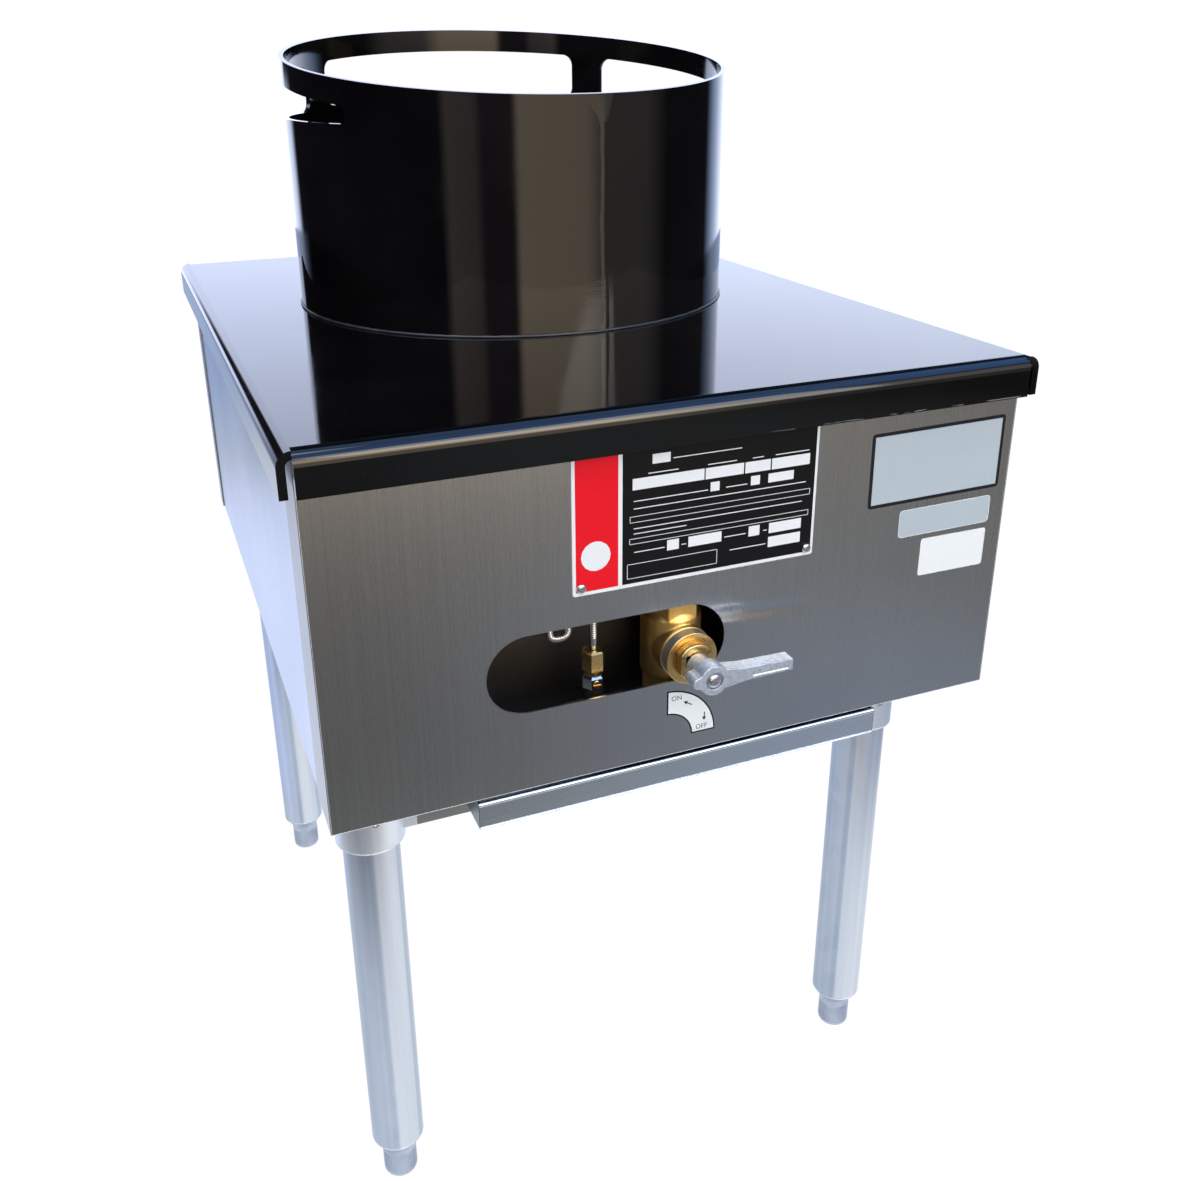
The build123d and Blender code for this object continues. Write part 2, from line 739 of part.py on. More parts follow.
def burner():
    """A cast burner: two ring channels, four spokes and a boss for the mixing tube."""
    top = burner_top - burner_height
    bottom = burner_bottom - burner_height
    half = burner_section / 2
    casting = Part()
    for radius in (outer_ring_radius, inner_ring_radius):
        ring = upright(0, burner_reach, bottom, top, radius + half)
        ring -= upright(0, burner_reach, bottom - 1, top + 1, radius - half)
        casting += chamfer(ring.edges().filter_by(GeomType.CIRCLE).group_by(Axis.Z)[-1], burner_chamfer)
    arm = outer_ring_radius
    for turn in (0, 90):
        spoke = block(-spoke_width / 2, spoke_width / 2, -arm, arm, bottom, top - spoke_sink)
        casting += Pos(0, burner_reach, 0) * Rot(0, 0, turn) * spoke
    casting -= upright(0, burner_reach, bottom - 1, top + 1, inner_ring_radius - half)
    end = burner_reach - outer_ring_radius - half
    start = end - burner_boss_length
    boss = along_y(0, 0, start, end + half, burner_boss_radius)
    wide = 2 * burner_boss_radius
    boss -= block(-wide, wide, start - 1, end + wide, bottom - wide, bottom)
    boss -= block(-wide, wide, end - 2, end + wide, top - boss_sink, top + wide)
    casting += boss
    casting -= along_y(0, 0, start - 1, start + mixer_seat, mixer_end_radius + running_clearance)
    for spot in burner_ports(outer_ring_radius, outer_ports) + burner_ports(inner_ring_radius, inner_ports):
        casting -= spot
    return burner_line * casting


def burner_bars():
    bars = []
    for offset in (-bar_offset, bar_offset):
        y0 = ring_y + offset - bar_width / 2
        y1 = y0 + bar_width
        bar = block(-wall_inner, wall_inner, y0, y1, burner_bottom - bar_thickness, burner_bottom)
        for side in (-1, 1):
            bar += block(side * (wall_inner - bar_thickness), side * wall_inner, y0, y1,
                         burner_bottom - bar_thickness - bar_foot, burner_bottom)
        bars.append(bar)
    return Compound(children=bars)


def flame_guard():
    """A sheet band between the burner bars and the plate, open for the mixing tube."""
    band = upright(ring_x, ring_y, burner_bottom, plate_underside, guard_radius)
    band -= upright(ring_x, ring_y, burner_bottom - 1, plate_underside + 1, guard_radius - 2 * sheet)
    notch = burner_boss_radius + 3
    gap = along_y(0, 0, 40, burner_reach - outer_ring_radius, notch)
    gap += block(-notch, notch, 40, burner_reach - outer_ring_radius, burner_bottom - burner_height - 1, 0)
    return band - burner_line * gap


# Pilot line
pilot_seat = manifold_height + pipe_radius + pilot_boss_rise
plated_top = pilot_seat + pilot_nut_height
pilot_face = valve_y - pilot_nut_flats / 2
neck_top = plated_top + pilot_neck_height
hex_top = neck_top + pilot_hex_height


pilot_screw_height = (pilot_seat + plated_top) / 2


def pilot_valve():
    """A plated hexagonal valve with a round neck, its adjusting screw facing forward."""
    body = hex_upright(pilot_x, valve_y, pilot_seat, plated_top, pilot_nut_flats)
    body = chamfer(body.edges().filter_by(Plane.XY), 1.5)
    radius = pilot_screw_radius + running_clearance
    return body - along_y(pilot_x, pilot_screw_height, pilot_face - 1, pilot_face + pilot_screw_depth, radius)


def pilot_neck():
    return upright(pilot_x, valve_y, plated_top, neck_top, 5.5)


def pilot_screw():
    screw = along_y(pilot_x, pilot_screw_height, pilot_face - 0.6,
                    pilot_face + pilot_screw_depth - slide_clearance, pilot_screw_radius)
    slot = block(-pilot_screw_radius, pilot_screw_radius, -1, 0.8, -0.4, 0.4)
    return screw - Pos(pilot_x, pilot_face - 0.6, pilot_screw_height) * slot


def pilot_hex_nut():
    nut = hex_upright(pilot_x, valve_y, neck_top, hex_top, pilot_hex_flats)
    nut = chamfer(nut.edges().filter_by(Plane.XY), 1.0)
    return nut - upright(pilot_x, valve_y, neck_top - 1, hex_top + 1, pilot_tube_radius)


pilot_burner_y = ring_y - outer_ring_radius - burner_section / 2 - pilot_burner_gap
pilot_level = burner_bottom - bar_thickness - pilot_run_drop


def pilot_tube():
    """The copper pilot line: up from its nut, one hanging loop, then back to the burner."""
    points = [(pilot_x, valve_y, neck_top), (pilot_x, valve_y, pilot_tube_top),
              (loop_right_x, valve_y, pilot_tube_top), (loop_right_x, valve_y, loop_floor),
              (loop_left_x, valve_y, loop_floor), (loop_left_x, valve_y, pilot_level),
              (loop_left_x, valve_y + 110, pilot_level),
              (pilot_burner_x, pilot_burner_y, pilot_level),
              (pilot_burner_x, pilot_burner_y, burner_bottom - bar_thickness)]
    wide = (pilot_x - loop_right_x) / 2 - 0.05
    tight = (loop_right_x - loop_left_x) / 2 - 0.05
    path = FilletPolyline(*points, radius=[wide, wide, tight, tight, 20, 30, 10])
    section = Plane(origin=path @ 0, z_dir=path % 0) * Circle(pilot_tube_radius)
    tube = sweep(section, path=path)
    print("pilot tube volume over section times length:",
          round(tube.volume / (math.pi * pilot_tube_radius ** 2 * path.length), 5))
    return tube


def pilot_burner():
    """A small tube with a hooded tip, on a foot clipped under the front burner bar."""
    x = pilot_burner_x
    y = pilot_burner_y
    z = burner_bottom - bar_thickness
    bar_front = ring_y - bar_offset - bar_width / 2
    foot_plate = block(x - 9, x + 9, y - 9, bar_front + 12, z - 2, z)
    body = foot_plate + upright(x, y, z - 2, burner_top - 4, 6)
    body += block(x - 5, x + 5, y, y + 9, burner_top - 8, burner_top - 5)
    return body - upright(x, y, z - 6, z, pilot_tube_radius)


# Blank data plate on the front panel and its two round-headed screws
def data_plate():
    plate = block(data_left, data_right, front_y - data_thickness, front_y, data_bottom, data_top)
    return fillet(plate.edges().filter_by(Axis.Y), 1.5)


def plate_screws():
    screws = []
    for x in (data_left + data_screw_inset, data_right - data_screw_inset):
        dome = Sphere(data_screw_radius) & block(-5, 5, -5, 0, -5, 5)
        screws.append(Pos(x, front_y - data_thickness, data_bottom + data_screw_inset) * dome)
    return Compound(children=screws)


save("top_plate", top_plate())
save("wok_ring", wok_ring())
save("ring_weld", ring_weld())
save("front_panel", front_panel())
save("back_panel", back_panel())
save("side_panel_right", side_panel())
save("side_panel_left", mirrored(side_panel()))
save("base_rail_right", base_rail())
save("base_rail_left", mirrored(base_rail()))
save("cross_rail_front", cross_rail(front_rail_y, 1))
save("cross_rail_rear", cross_rail(rear_rail_y, -1))
save("tray_guide_right", tray_guide())
save("tray_guide_left", mirrored(tray_guide()))
save("drip_tray", drip_tray())
save("baffle_lower", baffle_lower())
save("baffle_upper", baffle_upper())
for corner, (side, y) in corners.items():
    save("leg_socket_" + corner, leg_socket(side, y))
    save("leg_tube_" + corner, leg_tube(side, y))
    save("foot_insert_" + corner, foot_insert(side, y))
    save("foot_" + corner, foot(side, y))
save("set_screws", set_screws())
save("manifold_pipe", manifold_pipe())
save("manifold_plug", manifold_plug())
save("inlet_elbow", inlet_elbow())
save("inlet_pipe", inlet_pipe())
save("valve_body", valve_body())
save("valve_bonnet", valve_bonnet())
save("packing_gland", packing_gland())
save("valve_ball", valve_ball())
save("lever", lever())
save("lever_screw", lever_screw())
save("riser_pipe", riser_pipe())
save("riser_elbow", riser_elbow())
save("gas_jet", gas_jet())
save("air_shutter", air_shutter())
save("mixing_tube", mixing_tube())
save("burner", burner())
save("burner_bars", burner_bars())
save("flame_guard", flame_guard())
save("pilot_valve", pilot_valve())
save("pilot_neck", pilot_neck())
save("pilot_screw", pilot_screw())
save("pilot_hex_nut", pilot_hex_nut())
save("pilot_tube", pilot_tube())
save("pilot_burner", pilot_burner())
save("data_plate", data_plate())
save("plate_screws", plate_screws())
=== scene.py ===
import math
import bpy
from mathutils import Matrix, Vector


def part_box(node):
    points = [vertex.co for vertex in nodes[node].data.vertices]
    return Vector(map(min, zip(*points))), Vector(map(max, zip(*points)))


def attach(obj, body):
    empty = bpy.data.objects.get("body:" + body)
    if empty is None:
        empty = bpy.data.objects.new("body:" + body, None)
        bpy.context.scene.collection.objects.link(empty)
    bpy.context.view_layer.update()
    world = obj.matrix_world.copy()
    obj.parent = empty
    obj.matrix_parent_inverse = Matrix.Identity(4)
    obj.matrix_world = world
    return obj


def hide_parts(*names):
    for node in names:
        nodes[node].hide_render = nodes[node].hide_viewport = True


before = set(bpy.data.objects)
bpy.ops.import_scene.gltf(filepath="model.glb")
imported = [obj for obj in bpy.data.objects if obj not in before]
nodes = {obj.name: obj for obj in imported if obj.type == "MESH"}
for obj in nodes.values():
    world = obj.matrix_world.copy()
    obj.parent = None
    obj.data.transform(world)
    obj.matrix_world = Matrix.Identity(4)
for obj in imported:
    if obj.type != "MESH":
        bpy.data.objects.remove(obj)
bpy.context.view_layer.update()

mm = 0.001
corners = ("front_left", "front_right", "rear_left", "rear_right")
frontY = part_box("front_panel")[0].y   # face of the front panel
upright = (math.pi / 2, 0, 0)          # turns a flat piece, or a cylinder's end, to the front
close = 1e-6                           # two places this near are the same


def clearSelection():
    if bpy.context.mode != "OBJECT":
        bpy.ops.object.mode_set(mode="OBJECT")
    bpy.ops.object.select_all(action="DESELECT")


def makeActive(piece):
    clearSelection()
    piece.select_set(True)
    bpy.context.view_layer.objects.active = piece


def takeAll(piece):
    # edit mode with every point taken, also on a piece that has no faces yet
    makeActive(piece)
    bpy.ops.object.mode_set(mode="EDIT")
    bpy.ops.mesh.select_mode(type="VERT")
    bpy.ops.mesh.select_all(action="SELECT")


def pick(piece, kind, test):
    # leaves the piece in edit mode with the faces, edges or points that pass the test
    makeActive(piece)
    bpy.ops.object.mode_set(mode="EDIT")
    bpy.ops.mesh.select_mode(type=kind)
    bpy.ops.mesh.select_all(action="DESELECT")
    bpy.ops.object.mode_set(mode="OBJECT")
    mesh = piece.data
    for item in {"VERT": mesh.vertices, "EDGE": mesh.edges, "FACE": mesh.polygons}[kind]:
        item.select = test(item)
    bpy.ops.object.mode_set(mode="EDIT")


def applyModifiers(piece):
    makeActive(piece)
    for modifier in list(piece.modifiers):
        bpy.ops.object.modifier_apply(modifier=modifier.name)


def placeApplied(piece):
    makeActive(piece)
    bpy.ops.object.transform_apply(location=True, rotation=True, scale=True)


def shaped(add, **settings):
    # a new piece from one of Blender's own forms, with its place in the mesh
    clearSelection()
    add(**settings)
    placeApplied(bpy.context.object)
    return bpy.context.object


def frontTurned(vertices, radius, depth, middle):
    # a cylinder whose ends face the front and the back
    return shaped(bpy.ops.mesh.primitive_cylinder_add, vertices=vertices, radius=radius, depth=depth,
                  location=middle, rotation=upright)


def middleOf(nodeName):
    return [(low + high) / 2 for low, high in zip(*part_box(nodeName))]


def onPlane(piece, axis, level):
    # a test for pick: edges that lie on the plane
    return lambda edge: all(abs(piece.data.vertices[i].co[axis] - level) < close for i in edge.vertices)


def secondFinish(piece):
    # the faces that are taken get the second material, and the others the first
    bpy.ops.object.mode_set(mode="OBJECT")
    for face in piece.data.polygons:
        face.material_index = 1 if face.select else 0


def bevelled(piece, kind, test, offset, segments):
    pick(piece, kind, test)
    bpy.ops.mesh.bevel(offset=offset, segments=segments)
    bpy.ops.object.mode_set(mode="OBJECT")


def turnedStep(look):
    # a flat ring on the faces that are taken, and a step down inside it
    wide, deep = look["faceStep"]
    bpy.ops.mesh.inset(thickness=look["faceRing"] * mm, depth=0)
    bpy.ops.mesh.inset(thickness=wide * mm, depth=-deep * mm)


def smoothed(piece):
    for face in piece.data.polygons:
        face.use_smooth = True


def outwards(piece):
    takeAll(piece)
    bpy.ops.mesh.remove_doubles(threshold=0.000001)
    bpy.ops.mesh.normals_make_consistent(inside=False)
    bpy.ops.object.mode_set(mode="OBJECT")


def joined(name, pieces):
    clearSelection()
    for piece in pieces:
        piece.select_set(True)
    bpy.context.view_layer.objects.active = pieces[0]
    if len(pieces) > 1:
        bpy.ops.object.join()
    pieces[0].name = name
    return pieces[0]


def linked(name, data):
    # a new object of the scene that holds this data
    piece = bpy.data.objects.new(name, data)
    bpy.context.scene.collection.objects.link(piece)
    return piece


def settle(piece, name, body, finishes=(), smoothAngle=35):
    # place goes into the mesh, then the piece rides on its body
    piece.name = name
    placeApplied(piece)
    if smoothAngle:
        bpy.ops.object.shade_smooth_by_angle(angle=math.radians(smoothAngle))
    if finishes:
        if piece.data.materials:
            piece.data.materials.clear()
        for finishName in finishes:
            piece.data.materials.append(materials[finishName])
    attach(piece, body)


class Wire:
    # one socket, on which Python's own signs add Math nodes
    def __init__(self, sheet, socket):
        self.sheet = sheet
        self.socket = socket

    def maths(self, operation, other=None, swap=False):
        pair = (other, self) if swap else (self, other)
        values = {i: value for i, value in enumerate(pair) if value is not None}
        return self.sheet.node("Math", {"operation": operation}, values)

    def __add__(self, other):
        return self.maths("ADD", other)

    def __sub__(self, other):
        return self.maths("SUBTRACT", other)

    def __rsub__(self, other):
        return self.maths("SUBTRACT", other, swap=True)

    def __mul__(self, other):
        return self.maths("MULTIPLY", other)

    def __truediv__(self, other):
        return self.maths("DIVIDE", other)

    def __pow__(self, other):
        return self.maths("POWER", other)

    def __abs__(self):
        return self.maths("ABSOLUTE")


class Sheet:
    # a tree of shader nodes
    def __init__(self, tree):
        self.tree = tree

    def node(self, kind, settings, inputs, output=0):
        item = self.tree.nodes.new("ShaderNode" + kind)
        for key, value in settings.items():
            if key == "stops":
                elements = item.color_ramp.elements
                while len(elements) < len(value):
                    elements.new(0.5)
                for element, (position, colour) in zip(elements, value):
                    element.position = position
                    element.color = (*colour, 1)
            else:
                setattr(item, key, value)
        for key, value in inputs.items():
            if isinstance(value, Wire):
                self.tree.links.new(value.socket, item.inputs[key])
            else:
                item.inputs[key].default_value = value
        return Wire(self, item.outputs[output])


class Finish(Sheet):
    # a new material, whose maps are wires that are fed to its shader
    def __init__(self, fixed, glow=False):
        self.material = bpy.data.materials.new("finish")
        self.material.use_nodes = True
        super().__init__(self.material.node_tree)
        self.shader = self.tree.nodes["Principled BSDF"]
        if glow:
            output = self.tree.nodes["Material Output"]
            self.tree.nodes.remove(self.shader)
            self.shader = self.tree.nodes.new("ShaderNodeEmission")
            self.tree.links.new(self.shader.outputs[0], output.inputs["Surface"])
        for socketName, value in fixed.items():
            self.shader.inputs[socketName].default_value = value
        self.place = self.node("TexCoord", {}, {}, "Object")

    def moved(self, stretch=(1, 1, 1), turn=(0, 0, 0), shift=(0, 0, 0)):
        values = {"Vector": self.place, "Scale": stretch, "Rotation": turn, "Location": shift}
        return self.node("Mapping", {}, values)

    def noise(self, scale, stretch=(1, 1, 1), detail=3.0, roughness=0.55):
        values = {"Vector": self.moved(stretch), "Scale": scale, "Detail": detail, "Roughness": roughness}
        return self.node("TexNoise", {}, values, "Fac")

    def ramp(self, fac, stops):
        return self.node("ValToRGB", {"stops": stops}, {"Fac": fac}, "Color")

    def step(self, value, low, high):
        return self.node("MapRange", {"interpolation_type": "SMOOTHSTEP"},
                         {"Value": value, "From Min": low, "From Max": high}, "Result")

    def mix(self, fac, first, second):
        colours = {"Factor": fac, 6: first, 7: second}
        return self.node("Mix", {"data_type": "RGBA"}, colours, 2)

    def axes(self):
        split = self.node("SeparateXYZ", {}, {0: self.place}).socket.node
        return [Wire(self, socket) for socket in split.outputs]

    def feed(self, socketName, wire):
        self.tree.links.new(wire.socket, self.shader.inputs[socketName])

    def bump(self, height, strength, distance, under=None):
        values = {"Height": height, "Strength": strength, "Distance": distance}
        if under:
            values["Normal"] = under
        top = self.node("Bump", {}, values, "Normal")
        self.feed("Normal", top)
        return top


def rgba(red, green, blue):
    return (red, green, blue, 1)


enamelLook = {
    "colour": rgba(0.0012, 0.0012, 0.0016),
    "dusty": rgba(0.0040, 0.0038, 0.0040),
    "haze": 0.07,
    "waveDepth": 0.00002,
    "ringWaveDepth": 0.00006,
    "peelDepth": 0.00001,
    "dressedDepth": 0.00004,         # grinding marks on the left of the ring's seam
    "dressedFrom": (-0.025, 0.006),
    "dressedTo": (0.013, 0.017),
    "dressedFront": (0.04, 0.08),
    "wornLine": (0.58135, 0.0005),   # height and half width of a rub along the hem's lower edge
    "wornRight": (0.0, 0.14),
    "wornFront": (0.2945, 0.2955),
    "bare": rgba(0.22, 0.22, 0.23),
}


def blackEnamel(gloss, wave, dressed=False):
    look = enamelLook
    paint = Finish({"IOR": 1.52})
    clouds = paint.noise(9, detail=4)
    specks = paint.step(paint.noise(900, detail=1), 0.76, 0.82)
    wipe = paint.noise(12, stretch=wave, detail=5)
    x, y, z = paint.axes()
    height, width = look["wornLine"]
    off = abs(z + paint.noise(60, detail=3) * 0.0016 - 0.0008 - height)
    rubbed = (1 - paint.step(off, 0, width)) * paint.step(x, *look["wornRight"])
    rubbed = rubbed * paint.step(y * -1, *look["wornFront"])
    rubbed = rubbed * paint.step(paint.noise(45, detail=3), 0.46, 0.56)
    skin = paint.mix(paint.step(clouds, 0.4, 0.8), look["colour"], look["dusty"])
    paint.feed("Base Color", paint.mix(rubbed, skin, look["bare"]))
    paint.feed("Roughness", paint.step(wipe, 0.35, 0.8) * look["haze"] + specks * 0.3 + gloss)
    waves = look["ringWaveDepth" if dressed else "waveDepth"]
    ripple = paint.noise(34, stretch=wave, detail=1) * (waves / look["peelDepth"])
    if dressed:
        beside = paint.step(x, *look["dressedFrom"]) * (1 - paint.step(x, *look["dressedTo"]))
        beside = beside * paint.step(y * -1, *look["dressedFront"])
        marks = paint.noise(300, stretch=(0.22, 0.22, 1.2), detail=2)
        ripple = ripple + marks * beside * (look["dressedDepth"] / look["peelDepth"])
    paint.bump(ripple + paint.noise(420, detail=2), 0.5, look["peelDepth"])
    return paint.material


steelLook = {
    "colour": rgba(0.455, 0.455, 0.45),
    "tint": rgba(0.395, 0.40, 0.405),
    "streak": rgba(0.66, 0.66, 0.67),
    # painted shade for the tray's upright sides
    "dull": rgba(0.17, 0.19, 0.21),
    "shadedSidesWidth": 0.0005,
    "roughness": 0.25,
    "grainScale": 1300,
    "grainDepth": 0.00002,
    "dentPlace": (0.040, 0.4630),   # x and z of the faint dent beside the window
    "dentSize": (0.052, 0.0044),
    "dentSlope": 0.09,
    "dentDepth": 0.0006,
}


def brushedSteel(grain, colour=None, tint=None, roughness=None, dented=False, shadedSidesFrom=None):
    # grain is the stretch of the noise: small along the brushing
    look = steelLook
    steel = Finish({"Metallic": 1.0, "Anisotropic": 0.3})
    fine = steel.noise(look["grainScale"], stretch=grain, detail=6, roughness=0.7)
    broad = steel.noise(5, detail=3)
    base = steel.mix(steel.step(broad, 0.3, 0.72), colour or look["colour"], tint or look["tint"])
    streaked = steel.mix(steel.step(fine, 0.25, 0.8) * 0.1, base, look["streak"])
    if shadedSidesFrom:
        # painted shade: the upright sides, beyond this distance from the middle, are darkened
        side = steel.step(abs(steel.axes()[0]), shadedSidesFrom, shadedSidesFrom + look["shadedSidesWidth"])
        streaked = steel.mix(side, streaked, look["dull"])
    steel.feed("Base Color", streaked)
    steel.feed("Roughness", fine * 0.10 + broad * 0.06 + (roughness or look["roughness"]) - 0.05)
    grainBump = steel.bump(fine, 0.12, look["grainDepth"])
    if dented:
        x, y, z = steel.axes()
        (dentX, dentZ), (wide, tall) = look["dentPlace"], look["dentSize"]
        across = abs(x - dentX) / wide
        down = (z - dentZ + (x - dentX) * look["dentSlope"]) / tall
        hollow = (1 - steel.step(across, 0.1, 1.0)) * (1 - steel.step(abs(down), 0.0, 1.6))
        steel.bump(hollow, 1.0, -look["dentDepth"], under=grainBump)
    return steel.material


galvanisedLook = {
    # dark and light are the two ends of the painted reflection bands and of the real drawn streaks
    "dark": rgba(0.30, 0.37, 0.50),
    "light": rgba(0.78, 0.80, 0.86),
    "shaded": rgba(0.13, 0.18, 0.31),        # painted shade on the left of the right tubes
    "shade": (0.22, (0.44, 0.5)),            # share of the painted shade, and headings as parts of a turn
    "paintedShine": (0.6, (0.58, 0.62)),            # painted highlight, the same on the right of the right tubes
    "legMiddle": (0.19245, 0.2105, 0.007),   # half the legs' distances, and how far back their middle lies
    "rightBandTurn": 30,                          # the painted reflection bands on the right tubes are turned by this many degrees
    # painted reflection bands round each tube: heading in degrees from the front, and lightness
    "paintedReflectionBands": [(-180, 0.55), (-112, 0.50), (-97, 0.15), (-60, 0.12), (-52, 0.30), (-24, 0.34), (-18, 0.10),
              (-11, 0.12), (-5, 0.78), (20, 0.92), (42, 0.78), (48, 0.18), (60, 0.15), (68, 0.60),
              (180, 0.55)],
    "spangle": rgba(0.74, 0.78, 0.88),
    "spangleScale": 110,
    "roughness": 0.2,
}


def galvanised(dark=None, light=None):
    look = galvanisedLook
    zinc = Finish({"Metallic": 1.0})
    values = {"Vector": zinc.moved((1, 1, 0.6)), "Scale": look["spangleScale"]}
    cells = zinc.node("TexVoronoi", {}, values, "Color")
    spangle = zinc.node("RGBToBW", {}, {0: cells})
    streak = zinc.noise(95, stretch=(1, 1, 0.02), detail=5)
    dull = zinc.noise(12, detail=4)
    x, y, z = zinc.axes()
    onRight = zinc.step(x, -0.001, 0.001)
    halfWide, halfDeep, back = look["legMiddle"]
    across = x - x.maths("SIGN") * halfWide
    along = y - back - y.maths("SIGN") * halfDeep
    heading = across.maths("ARCTAN2", along * -1) / (2 * math.pi) + 0.5
    heading = (heading + onRight * (look["rightBandTurn"] / 360)).maths("FRACT")
    stops = [(degrees / 360 + 0.5, (grey, grey, grey)) for degrees, grey in look["paintedReflectionBands"]]
    paintedBand = zinc.node("RGBToBW", {}, {0: zinc.ramp(heading, stops)})
    dark, light = dark or look["dark"], light or look["light"]
    # painted reflection bands round each tube, three quarters, over its real drawn streaks
    base = zinc.mix(paintedBand * 0.75 + zinc.step(streak, 0.32, 0.7) * 0.25, dark, light)
    share, shadedTo = look["shade"]
    # painted shade on the left of the right tubes
    base = zinc.mix(onRight * (1 - paintedBand) * (1 - zinc.step(heading, *shadedTo)) * share, base, look["shaded"])
    share, litFrom = look["paintedShine"]
    # painted highlight on the right of the right tubes
    base = zinc.mix(onRight * zinc.step(heading, *litFrom) * share, base, light)
    zinc.feed("Base Color", zinc.mix(spangle * 0.16, base, look["spangle"]))
    zinc.feed("Roughness", streak * 0.16 + dull * 0.1 + spangle * 0.05 + look["roughness"])
    zinc.bump(streak + spangle * 0.3, 0.25, 0.00004)
    return zinc.material


def castMetal(colour, dark, metallic=1.0, roughness=0.34, scale=900, depth=0.00008, blotch=60):
    cast = Finish({"Metallic": metallic})
    grit = cast.noise(scale, detail=5, roughness=0.65)
    patches = cast.noise(blotch, detail=4)
    cast.feed("Base Color", cast.mix(cast.step(patches, 0.35, 0.75), colour, dark))
    cast.feed("Roughness", grit * 0.2 + patches * 0.12 + roughness - 0.12)
    cast.bump(grit, 0.5, depth)
    return cast.material


def platedSteel():
    plated = Finish({"Metallic": 1.0})
    wear = plated.noise(300, detail=4)
    plated.feed("Base Color", plated.mix(wear, rgba(0.76, 0.77, 0.80), rgba(0.56, 0.57, 0.60)))
    plated.feed("Roughness", wear * 0.2 + 0.10)
    plated.bump(wear, 0.2, 0.00003)
    return plated.material


def blackPipe():
    pipe = Finish({"Metallic": 0.35, "Coat Weight": 0.2})
    scale = pipe.noise(220, detail=5)
    streak = pipe.noise(60, stretch=(0.15, 1, 1), detail=3)
    pipe.feed("Base Color", pipe.mix(streak, rgba(0.012, 0.012, 0.014), rgba(0.035, 0.031, 0.028)))
    pipe.feed("Roughness", scale * 0.25 + 0.35)
    pipe.bump(scale, 0.4, 0.0001)
    return pipe.material


def printed(colour, worn, roughness=0.35, grain=1200):
    # ink or paper: a slightly uneven coat with a fine tooth
    ink = Finish({"IOR": 1.48, "Specular IOR Level": 0.16})
    tooth = ink.noise(grain, detail=3)
    cloud = ink.noise(70, detail=4)
    rub = ink.step(ink.noise(260, stretch=(0.3, 1, 1), detail=3), 0.66, 0.8)
    ink.feed("Base Color", ink.mix(cloud * 0.5 + rub * 0.5, colour, worn))
    ink.feed("Roughness", tooth * 0.14 + rub * 0.2 + roughness)
    ink.bump(tooth, 0.25, 0.00002)
    return ink.material


materials = {
    "enamelTop": blackEnamel(0.045, (0.5, 1, 1)),
    "enamelRing": blackEnamel(0.05, (1, 1, 1.6), dressed=True),
    "enamelSeam": blackEnamel(0.26, (1, 1, 1)),
    "enamelWeld": castMetal(rgba(0.020, 0.020, 0.024), rgba(0.045, 0.045, 0.05), metallic=0.0,
                            roughness=0.30, scale=700, depth=0.0001),
    "steelFront": brushedSteel((1, 1, 0.004), dented=True),
    # the left side panel's lighter, bluish copy of the steel: a painted reflection
    "steelSidePaintedReflection": brushedSteel((1, 1, 0.004), rgba(0.64, 0.70, 0.84), rgba(0.56, 0.62, 0.76)),
    "steelBack": brushedSteel((1, 1, 0.004), rgba(0.53, 0.545, 0.57), rgba(0.47, 0.485, 0.51)),
    # the tray's upright sides get painted shade
    "steelTray": brushedSteel((0.004, 1, 1), rgba(0.64, 0.69, 0.72), rgba(0.56, 0.61, 0.66), shadedSidesFrom=0.1399),
    "steelRail": brushedSteel((0.004, 1, 1), rgba(0.36, 0.355, 0.35), rgba(0.26, 0.25, 0.245), 0.30),
    # a bright bluish finish for thin edges and rims: painted highlight
    "paintedEdgeHighlight": castMetal(rgba(0.84, 0.87, 0.93), rgba(0.66, 0.70, 0.78), metallic=0.45,
                           roughness=0.40, scale=600, depth=0.00002),
    "steelInner": brushedSteel((0.005, 1, 1), rgba(0.22, 0.21, 0.20), rgba(0.15, 0.14, 0.13), 0.34),
    "galvanised": galvanised(),
    "socketZinc": galvanised(rgba(0.68, 0.74, 0.86), rgba(0.97, 0.98, 1.0)),
    "footAlloy": castMetal(rgba(0.52, 0.57, 0.68), rgba(0.42, 0.46, 0.56), roughness=0.36),
    "brass": castMetal(rgba(0.72, 0.47, 0.16), rgba(0.54, 0.34, 0.11), roughness=0.36),
    "brassTurned": castMetal(rgba(0.72, 0.49, 0.19), rgba(0.56, 0.37, 0.14), roughness=0.24,
                             scale=1500, depth=0.00003),
    "bonnetRim": castMetal(rgba(0.50, 0.46, 0.38), rgba(0.36, 0.33, 0.28), roughness=0.46, scale=1100),
    "zincCast": castMetal(rgba(0.60, 0.66, 0.73), rgba(0.41, 0.47, 0.55), metallic=0.75, roughness=0.34,
                          scale=1100, depth=0.00016, blotch=420),
    "plated": platedSteel(),
    "blackPipe": blackPipe(),
    "castIron": castMetal(rgba(0.060, 0.058, 0.056), rgba(0.10, 0.075, 0.055), metallic=0.6,
                          roughness=0.62, scale=420, depth=0.0004),
    "plateWhite": printed(rgba(0.80, 0.81, 0.83), rgba(0.70, 0.71, 0.74), 0.28),
    "plateRed": printed(rgba(0.80, 0.001, 0.012), rgba(0.70, 0.002, 0.012), 0.30),
    "plateBlack": printed(rgba(0.004, 0.004, 0.005), rgba(0.008, 0.008, 0.009), 0.30),
    "labelGrey": printed(rgba(0.44, 0.50, 0.55), rgba(0.38, 0.43, 0.48), 0.42, 900),
    "labelPaper": printed(rgba(0.80, 0.82, 0.83), rgba(0.72, 0.74, 0.76), 0.42, 900),
    "labelInk": printed(rgba(0.008, 0.009, 0.012), rgba(0.020, 0.021, 0.024), 0.36),
}
for finishName, material in materials.items():
    material.name = finishName

